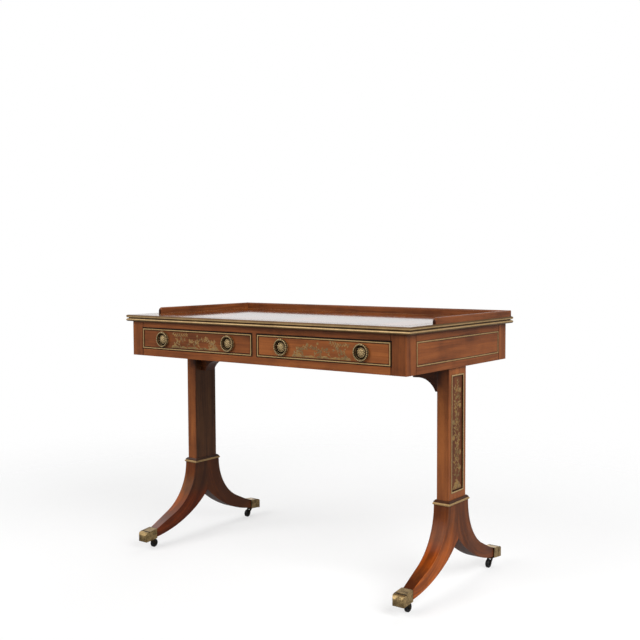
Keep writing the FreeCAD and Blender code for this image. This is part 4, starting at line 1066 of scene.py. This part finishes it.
@dataclass
class Drawer:
    """One drawer with its gilt front and two ring pulls, whose heights are measured out from the front."""

    side: Side
    seed: int = 20
    chance: int = 40
    middle_x: float = 239.0
    face_y: float = -280.0
    middle_z: float = 689.25
    field_half: Spot = (224.0, 27.25)
    bead_half: Spot = (226.0, 29.25)
    pull_reach: float = 137.0
    plate: float = 2.4
    well: float = 1.4
    rosette: float = 16.2
    rosette_eye: float = 0.02
    rosette_lift: float = 0.12
    dome_radius: float = 11.5
    dome: float = 4.2
    dome_edge: float = 1.0
    ring: float = 21.5
    ring_stand: float = 6.2
    ring_wire: float = 2.7
    ring_crest: float = 0.4
    ring_gap: float = 0.2
    reeds: int = 26
    reed_rise: float = 0.5
    inner_petals: int = 8
    inner_length: float = 7.6
    inner_rise: float = 1.5
    outer_petals: int = 12
    outer_foot: float = 8.6
    outer_rise: float = 2.6
    button: float = 3.2
    button_rise: float = 1.7

    def dress(self) -> None:
        """Finish the drawer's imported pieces."""
        word = self.side.word
        seed = self.seed + 10 * self.side.value
        middle = (self.middle_x, self.middle_z)
        # Darker band on the drawer front along the inside of its cockbead.
        darker_inside_bead = Edging(Plane.FRONT, middle, self.field_half, full=0.6, none=3.6, tint=(0.12, 0.1, 0.09))
        # Painted shade on the sides of the cockbead, leaving a painted highlight along its middle.
        bead = Edging(Plane.FRONT, middle, self.bead_half, full=1.6, none=0.5)
        tone = 0.02 + 0.06 * self.side.value
        dress(f"{word}_drawer_front", MAHOGANY.material(Grain.WIDTH.run, seed, tone, darker_inside_bead))
        dress(f"{word}_drawer_bead", BEAD_BRASS.material(bead.share))
        box = (("sides", Grain.DEPTH), ("back", Grain.WIDTH), ("bottom", Grain.WIDTH))
        for number, (piece, grain) in enumerate(box, seed + 1):
            dress(f"{word}_drawer_{piece}", DRAWER_WOOD.material(grain.run, number))
        dress(f"{word}_pull_plates", PULL_BRASS.material(self.sunk))
        brass = PULL_BRASS.material()
        for node in (f"{word}_pull_bolts", f"{word}_outer_ring", f"{word}_inner_ring"):
            dress(node, brass)

    def from_pull(self, board: Board, place: Place) -> Place:
        """Find a point as seen from the middle of the nearest pull.

        Args:
            board: the finish's nodes.
            place: the point.

        Returns:
            Its distances across, up and in a straight line.
        """
        across = abs(abs(place[0]) - self.middle_x) - self.pull_reach
        up = place[2] - self.middle_z
        return across, up, board.maths("SQRT", across * across + up * up)

    def sunk(self, board: Board, place: Place) -> Wire:
        """Dark ground between the petals of a rosette and the rim of its plate, partly patina in the hollow
        and partly painted shade, with painted shade in the gaps between petals, round the button and at the
        step between the rows.

        Args:
            board: the finish's nodes.
            place: the point on the rosette or plate.

        Returns:
            1 where the brass is black and 0 where it is bright.
        """
        across, up, reach = self.from_pull(board, place)
        around = board.maths("ARCTAN2", up, across)
        between_rows = self.dome_radius - self.dome_edge
        ground = board.ease(reach, self.dome_radius + 0.6, self.dome_radius + 2.2)
        ground = ground * board.ease(reach, self.rosette + 2.2, self.rosette + 1.4)
        row = reach > between_rows
        petal = abs(board.maths("COSINE", around * (self.inner_petals / 2))) * (1.0 - row)
        petal = petal + abs(board.maths("SINE", around * (self.outer_petals / 2))) * row
        gap = board.ease(petal, 0.55, 0.1) * board.ease(reach, self.button + 0.4, self.button + 1.6)
        rings = (board.ease(abs(reach - ring), 0.9, 0.2) for ring in (self.button + 0.2, between_rows))
        return board.most(ground, board.most(gap, *rings) * 0.85)

    def between_reeds(self, board: Board, place: Place) -> Wire:
        """Dark furrows between the reeds of a pull ring, and painted shade on its flanks that leaves a
        painted highlight along its crest.

        Args:
            board: the finish's nodes.
            place: the point on the ring.

        Returns:
            1 where the brass is black and 0 where it is bright.
        """
        across, up, reach = self.from_pull(board, place)
        around = board.maths("ARCTAN2", up, across)
        tilt = board.maths("ARCTAN2", self.face_y - self.ring_stand - place[1], reach - self.ring)
        reed = abs(board.maths("SINE", around * (self.reeds / 2) + tilt * 0.5))
        # painted shade on the ring's flanks
        painted_flank_shade = board.ease(abs(reach - self.ring - self.ring_crest), 0.7, 2.2) * 0.92
        return board.most(board.ease(reed, 0.75, 0.2), painted_flank_shade)

    def build(self) -> None:
        """Make the rosettes, the reeded rings and the gilt ornament."""
        word = self.side.word
        for name, reach in (("outer", self.pull_reach), ("inner", -self.pull_reach)):
            self.flower(f"{word}_{name}_rosette", self.side.value * reach)
            self.reeding(f"{word}_{name}_ring_reeding", self.side.value * reach, f"{word}_{name}_pull")
        relief = Relief(self.at(0.0, 0.0, 0.0), Vector((1, 0, 0)), Vector((0, 0, 1)), Vector((0, -1, 0)))
        self.ornament(relief)
        relief.mould.piece(f"{word}_drawer_gilding", Gilt().material(), f"{word}_drawer")

    def at(self, u: float, v: float, height: float) -> Vector:
        """A point of the front: right of its middle, above it and out of it, in millimetres."""
        return Vector((self.side.value * self.middle_x + u, self.face_y - height, self.middle_z + v)) * MM

    def ornament(self, relief: Relief) -> None:
        """Lay out leafy sprays, flowers and low banks between the pulls.

        Args:
            relief: the panel to work on.
        """
        chance = random.Random(self.chance + self.side.value)
        flip = self.side.value
        for u, width, height in ((-78, 46, 9), (-38, 40, 6), (8, 52, 7), (52, 40, 6), (84, 36, 10)):
            relief.bank((flip * u, -24.0), width, height, chance.uniform(3, 6))
        stems = (
            (-96, -18, 36, -34, 70), (-84, -20, 64, -56, 46), (-58, -20, 116, 44, 30),
            (-22, -20, 58, -66, 46), (4, -20, 104, 60, 32), (98, 19, 192, -24, 62),
            (92, -18, 132, 52, 50), (62, -20, 72, -40, 28), (34, -20, 112, 44, 26))
        for u, v, heading, bend, reach in stems:
            angle = heading if flip > 0 else 180 - heading
            path = arc_path((flip * u, v), angle, flip * bend, reach)
            relief.spray(path, length=11.0, gap=4.2, chance=chance)
        for u, v, radius in ((-46, 12, 5.5), (22, 2, 5.0), (58, 6, 5.5), (-10, 16, 4.5)):
            relief.blossom((flip * u, v), radius)

    def flower(self, name: str, reach: float) -> None:
        """Make one rosette of two rows of petals round a button.

        Args:
            name: the piece's name.
            reach: place of the pull, right of the drawer's middle.
        """
        mould = Mould()
        ball = (self.dome_radius ** 2 + self.dome ** 2) / (2 * self.dome)
        rings, steps = 26, 96
        rows = []
        for ring in range(rings + 1):
            r = max(self.rosette * ring / rings, self.rosette_eye)
            floor = self.well
            if r < self.dome_radius:
                floor = self.plate + math.sqrt(ball ** 2 - r ** 2) - (ball - self.dome)
            button = self.button_rise * math.sqrt(max(1 - (r / self.button) ** 2, 0))
            inner_share = (r - self.button) / self.inner_length
            outer_share = (r - self.outer_foot) / (self.rosette - self.outer_foot)
            row = []
            for step in range(steps):
                turn = 2 * math.pi * step / steps
                between = turn + math.pi / self.outer_petals
                inner = self.inner_rise * self.petal(turn, self.inner_petals, inner_share)
                outer = self.outer_rise * self.petal(between, self.outer_petals, outer_share)
                height = max(floor + inner + button, self.well + outer) + self.rosette_lift
                row.append(self.at(reach + r * math.cos(turn), r * math.sin(turn), height))
            rows.append(row)
        mould.grid(rows, closed=True)
        mould.piece(name, PULL_BRASS.material(self.sunk), f"{self.side.word}_drawer")

    def petal(self, turn: float, count: int, share: float) -> float:
        """Height of a row of petals.

        Args:
            turn: angle round the rosette.
            count: how many petals the row has.
            share: place between the foot and the tip of a petal, 0 to 1.

        Returns:
            The height, from 0 to 1.
        """
        if not 0 < share < 1:
            return 0.0
        lobe = abs(math.cos(turn * count / 2))
        return lobe ** 0.6 * math.sin(math.pi * share ** 0.8) ** 0.6

    def reeding(self, name: str, reach: float, body: str) -> None:
        """Make the reeded skin of one pull ring, open at its knuckle.

        Args:
            name: the piece's name.
            reach: place of the pull, right of the drawer's middle.
            body: the ring's own body.
        """
        mould = Mould()
        runs, steps = self.reeds * 6, 12
        rows = []
        for run in range(runs + 1):
            around = math.pi / 2 + self.ring_gap + (2 * math.pi - 2 * self.ring_gap) * run / runs
            row = []
            for step in range(steps):
                tilt = 2 * math.pi * step / steps
                reed = abs(math.sin((self.reeds * around + tilt) / 2)) ** 0.7
                wire = self.ring_wire + self.reed_rise * reed
                r = self.ring + wire * math.cos(tilt)
                height = self.ring_stand + wire * math.sin(tilt)
                row.append(self.at(reach + r * math.cos(around), r * math.sin(around), height))
            rows.append(row)
        mould.grid(rows, closed=True)
        mould.piece(name, PULL_BRASS.material(self.between_reeds), body)


@dataclass
class Trestle:
    """One end: column with a gilt panel, sabre legs and casters.

    The arc is the hollow sweep that a leg's grain follows. The dusk is how far the painted shadow reaches
    below the case.
    """

    side: Side
    front_tone: float
    back_tone: float
    front_bands: tuple[Band, ...]
    seed: int = 50
    chance: int = 70
    panel_x: float = 505.0
    panel_z: float = 447.5
    panel_half: Spot = (35.0, 166.5)
    frame_width: float = 5.0
    half_height: float = 158.0
    sway: float = 10.0
    wave: float = 31.0
    vine_foot: float = 14.0
    vine_steps: int = 64
    vine_step: float = 4.3
    twig_foot: float = 32.0
    twigs: int = 12
    twig_gap: float = 22.0
    arc_out: float = 224.0
    arc_up: float = 249.5
    arc_radius: float = 168.0
    column_front: float = 48.5
    column_inner: float = 469.0
    column_top: float = 634.0
    dusk: float = 75.0

    def dress(self) -> None:
        """Finish this end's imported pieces."""
        word = self.side.word
        seed = self.seed + 10 * self.side.value
        middle = (0.0, self.panel_z)
        inside = (self.panel_half[0] - self.frame_width, self.panel_half[1] - self.frame_width)
        outer_face = self.panel_x - 2.0
        ground = Edging(
            Plane.SIDE, middle, self.panel_half, full=-0.5, none=0.5, tint=(0.5, 0.52, 0.66), filled=True,
            face=outer_face)
        shadow = Edging(
            Plane.SIDE, middle, inside, full=0.4, none=3.4, tint=(0.3, 0.26, 0.26), face=outer_face)
        # Painted shadow under the case at the top of the column's front and back.
        under = Edging(
            Plane.FRONT, (0.0, 0.0), (BEYOND, self.column_top), full=0.0, none=-self.dusk,
            tint=(0.5, 0.42, 0.38), filled=True, face=self.column_front - 1.0)
        # Painted shade over the column's inner face.
        inner = Edging(
            Plane.FRONT, (0.0, 0.0), (self.column_inner + 0.5, BEYOND), full=-0.4, none=0.4,
            tint=(0.6, 0.8, 1.05), filled=True)
        # Painted shade, darkest high on the inner face under the case.
        corner = Edging(
            Plane.FRONT, (0.0, self.column_top), (self.column_inner + 40.0, self.dusk), full=-40.0, none=-2.0,
            tint=(0.3, 0.28, 0.35), filled=True)
        shades = (ground, shadow, under, inner, corner)
        tone = 0.035 + 0.025 * self.side.value
        dress(f"{word}_column", MAHOGANY.material(Grain.HEIGHT.run, seed, tone, *shades))
        brass = FORK_BRASS.material()
        wheel = WHEEL_BLACK.material()
        # The front legs carry painted light and shade in bands.
        front = LEG_WOOD.material(
            self.sweep, seed + 2, self.front_tone, *self.front_bands, polish=TOE_POLISH)
        back = LEG_WOOD.material(self.sweep, seed + 3, self.back_tone)
        for end, wood in (("front", front), ("back", back)):
            dress(f"{end}_{word}_leg", wood)
            dress(f"{end}_{word}_fork", brass)
            dress(f"{end}_{word}_wheel", wheel)

    def sweep(self, board: Board, place: Place) -> Place:
        """Grain along the hollow sweep of a sabre leg.

        Args:
            board: the finish's nodes.
            place: the point on the leg.

        Returns:
            The distances along, across and through the grain.
        """
        out = self.arc_out - abs(place[1])
        down = self.arc_up - place[2]
        reach = board.maths("SQRT", out * out + down * down)
        return board.maths("ARCTAN2", down, out) * self.arc_radius, reach, place[0]

    def build(self) -> None:
        """Make the gilt climber on the column's outer panel."""
        sign = self.side.value
        middle = Vector((sign * self.panel_x, 0.0, self.panel_z)) * MM
        relief = Relief(middle, Vector((0, sign, 0)), Vector((0, 0, 1)), Vector((sign, 0, 0)))
        chance = random.Random(self.chance + sign)
        for v, width, height in ((-self.half_height, 50, 14), (-self.half_height + 8, 34, 16)):
            relief.bank((sign * 2.0, v), width, height, 5.0)
        path = []
        for step in range(self.vine_steps):
            v = -self.half_height + self.vine_foot + step * self.vine_step
            path.append((self.sway * math.sin(v / self.wave + sign), v))
        relief.spray(path, length=16.0, gap=8.0, chance=chance)
        for number in range(self.twigs):
            v = -self.half_height + self.twig_foot + number * self.twig_gap
            u = self.sway * math.sin(v / self.wave + sign)
            turn = -1 if u > 0 else 1
            twig = arc_path((u, v), heading=90 - turn * 62, bend=turn * 74, length=36.0)
            relief.spray(twig, length=11.0, gap=3.6, chance=chance)
            if number % 2:
                relief.blossom((turn * 17.0, v + 4), radius=8.5, petals=7)
        relief.mould.piece(f"{self.side.word}_column_gilding", Gilt().material(), "table")


@dataclass
class TrestleTrim:
    """Brass and wood trim that both ends share.

    A cap's joint, line and tip are measured out from the middle of the table, its middle and top upwards.
    """

    frame_middle: float = 447.5
    frame_line: Spot = (32.8, 164.3)
    cap_joint: float = 231.0
    cap_rim: float = 1.6
    cap_middle: float = 46.0
    cap_top: float = 59.8
    cap_line: float = 265.8
    cap_tip: float = 281.0
    # how much darker the left caps are made, as painted shade
    left_dim: float = 0.3

    def dress(self) -> None:
        """Finish the trim."""
        # Painted shade over most of each column frame, leaving a thin painted highlight line near its outer
        # edge.
        bright = Edging(Plane.SIDE, (0.0, self.frame_middle), self.frame_line, full=2.4, none=1.0)
        dress("column_frames", FRAME_BRASS.material(bright.share))
        dress("column_collars", LINE_BRASS.material())
        # The toe caps get painted shade.
        dress("toe_caps", CAP_BRASS.material(self.worn_cap))
        # The brackets are toned darker as painted shade, for they sit in the shadow of the case.
        dress("column_brackets", MAHOGANY.material(Grain.WIDTH.run, 80, -0.2))
        dress("column_mouldings", DARK_WOOD.material(Grain.DEPTH.run, 81))
        dress("leg_dowels", DRAWER_WOOD.material(Grain.DEPTH.run, 82))

    def worn_cap(self, board: Board, place: Place) -> Wire:
        """Painted shade on a toe cap: a dark line where the sleeve steps to the nose, a darker front below
        it, a dark open end and darker caps on the left.

        Args:
            board: the finish's nodes.
            place: the point on the cap.

        Returns:
            1 where the brass is black and 0 where it is bright.
        """
        out = abs(place[1])
        line = board.ease(abs(out - self.cap_line), 3.8, 2.0)
        line = line * board.ease(place[2], self.cap_top - 4.0, self.cap_top - 2.0)
        front = board.ease(out, self.cap_tip - 9.0, self.cap_tip - 4.0)
        front = front * board.ease(place[2], self.cap_middle + 2.0, self.cap_middle - 10.0) * 0.5
        rim = board.ease(out, self.cap_joint + self.cap_rim, self.cap_joint + 0.3)
        return board.most(front, (place[0] < 0.0) * self.left_dim, rim, line)


@dataclass(frozen=True)
class Lamp:
    """One soft round lamp that points at the table: place and width in metres, power in watts."""

    name: str
    place: tuple[float, float, float]
    size: float
    power: float

    def hang(self, target: Vector) -> None:
        """Put the lamp into the scene.

        Args:
            target: the point that it shines on.
        """
        data = bpy.data.lights.new(self.name, "AREA")
        data.shape = "DISK"
        data.size = self.size
        data.energy = self.power
        lamp = bpy.data.objects.new(self.name, data)
        lamp.location = self.place
        lamp.visible_glossy = False
        lamp.rotation_euler = (target - Vector(self.place)).to_track_quat("-Z", "Y").to_euler()
        bpy.context.scene.collection.objects.link(lamp)


@dataclass
class Studio:
    """Pale floor, soft lamps and the camera, in metres and degrees.

    The white world lights the table at the strength of the sky. Polish mirrors a room, a wall and windows.
    """

    eye: tuple[float, float, float] = (1.8087, -2.3381, 0.9307)
    azimuth: float = 37.350
    pitch: float = -3.544
    roll: float = -0.261
    lens: float = 53.63
    sensor: float = 36.0
    target: tuple[float, float, float] = (0.0, 0.0, 0.5)
    sky: float = 0.16
    room: float = 0.22
    wall: float = 0.85
    wall_way: Spot = (-0.8, 0.6)
    wall_edge: Spot = (0.15, 0.85)
    wall_top: Spot = (0.65, 0.25)
    windows: tuple[tuple[float, float, float], ...] = (
        (-0.42, -0.69, 0.59), (0.79, -0.2, 0.58), (-0.8, 0.07, 0.6))
    window_edge: Spot = (0.84, 0.96)
    floor_size: float = 16.0
    floor_tone: float = 0.3
    floor_glow: float = 0.6
    floor_fade: Spot = (900.0, 2600.0)
    lamps: tuple[Lamp, ...] = (
        Lamp("key_lamp", (-1.5, -3.4, 2.9), size=3.6, power=128.0),
        Lamp("side_lamp", (3.3, -0.9, 2.6), size=3.2, power=142.0),
        Lamp("back_lamp", (-0.6, 3.2, 3.0), size=3.0, power=60.0))

    def build(self) -> None:
        """Set up everything round the table."""
        self.camera()
        self.world()
        self.floor()
        for lamp in self.lamps:
            lamp.hang(Vector(self.target))
        bpy.context.scene.view_settings.view_transform = "Standard"

    def camera(self) -> None:
        """Place the camera where the photograph's was."""
        data = bpy.data.cameras.new("camera")
        data.sensor_width = self.sensor
        data.lens = self.lens
        camera = bpy.data.objects.new("camera", data)
        around, tilt = math.radians(self.azimuth), math.radians(self.pitch)
        level = math.cos(tilt)
        ahead = Vector((-math.sin(around) * level, math.cos(around) * level, math.sin(tilt)))
        camera.location = self.eye
        turn = ahead.to_track_quat("-Z", "Y") @ Quaternion((0.0, 0.0, 1.0), math.radians(self.roll))
        camera.rotation_euler = turn.to_euler()
        bpy.context.scene.collection.objects.link(camera)
        bpy.context.scene.camera = camera

    def world(self) -> None:
        """White surroundings, mirrored as a white wall behind the table, soft windows and a dimmer room."""
        world = bpy.data.worlds.new("studio")
        bpy.context.scene.world = world
        board = Board("studio", world)
        camera = board.add("LightPath", None, None, "Is Camera Ray")
        mirrored = Wire(board, camera.node, "Is Glossy Ray")
        through = Wire(board, camera.node, "Is Transmission Ray")
        ahead = board.add("TexCoord", None, None, "Generated")
        x, y, z = board.split(ahead)
        level = board.ease(y * self.wall_way[1] + x * self.wall_way[0], *self.wall_edge)
        pale = level * board.ease(z, *self.wall_top) * self.wall
        for window in self.windows:
            facing = board.vector("DOT_PRODUCT", ahead, window, output="Value")
            pale = board.most(pale, board.ease(facing, *self.window_edge))
        mirror = mirrored * board.most(pale, self.room)
        strength = board.most(camera, through, mirror, self.sky)
        light = board.add("Background", None, {"Color": WHITE, "Strength": strength})
        board.add("OutputWorld", None, {"Surface": light})

    def floor(self) -> None:
        """Pale floor that keeps the table's shadow and melts into the white further out."""
        half = self.floor_size / 2
        mesh = bpy.data.meshes.new("floor")
        corners = ((-half, -half, 0), (half, -half, 0), (half, half, 0), (-half, half, 0))
        mesh.from_pydata(corners, [], [(0, 1, 2, 3)])
        floor = bpy.data.objects.new("floor", mesh)
        board = Board("pale_floor")
        camera = board.add("LightPath", None, None, "Is Camera Ray")
        tone = board.mix(camera, (self.floor_tone,) * 3, WHITE)
        matt = board.add("BsdfDiffuse", None, {"Color": tone})
        glow = board.add("Emission", None, {"Color": WHITE, "Strength": 1.0})
        lit = board.add("MixShader", None, {0: camera * self.floor_glow, 1: matt, 2: glow})
        x, y, _ = board.place()
        away = board.maths("SQRT", x * x + y * y)
        clear = board.add("BsdfTransparent", None, {"Color": WHITE})
        blend = board.add("MixShader", None, {0: board.ease(away, *self.floor_fade), 1: lit, 2: clear})
        board.add("OutputMaterial", None, {"Surface": blend})
        mesh.materials.append(board.owner)
        bpy.context.scene.collection.objects.link(floor)


def main() -> None:
    """Build and dress the table, piece by piece, and set up the studio."""
    logging.basicConfig(level=logging.INFO, format="%(message)s")
    Studio().build()
    TableTop().dress()
    Frieze().dress()
    TrestleTrim().dress()
    left_end = Trestle(
        Side.LEFT, front_tone=-0.12, back_tone=-0.2, front_bands=FRONT_LEG_PAINTED_LIGHT + LEFT_LEG_PAINTED_LIGHT)
    right_end = Trestle(Side.RIGHT, front_tone=-0.11, back_tone=-0.14, front_bands=FRONT_LEG_PAINTED_LIGHT)
    for part in (Drawer(Side.LEFT), Drawer(Side.RIGHT), left_end, right_end):
        part.dress()
        part.build()


if __name__ == "__main__":
    main()
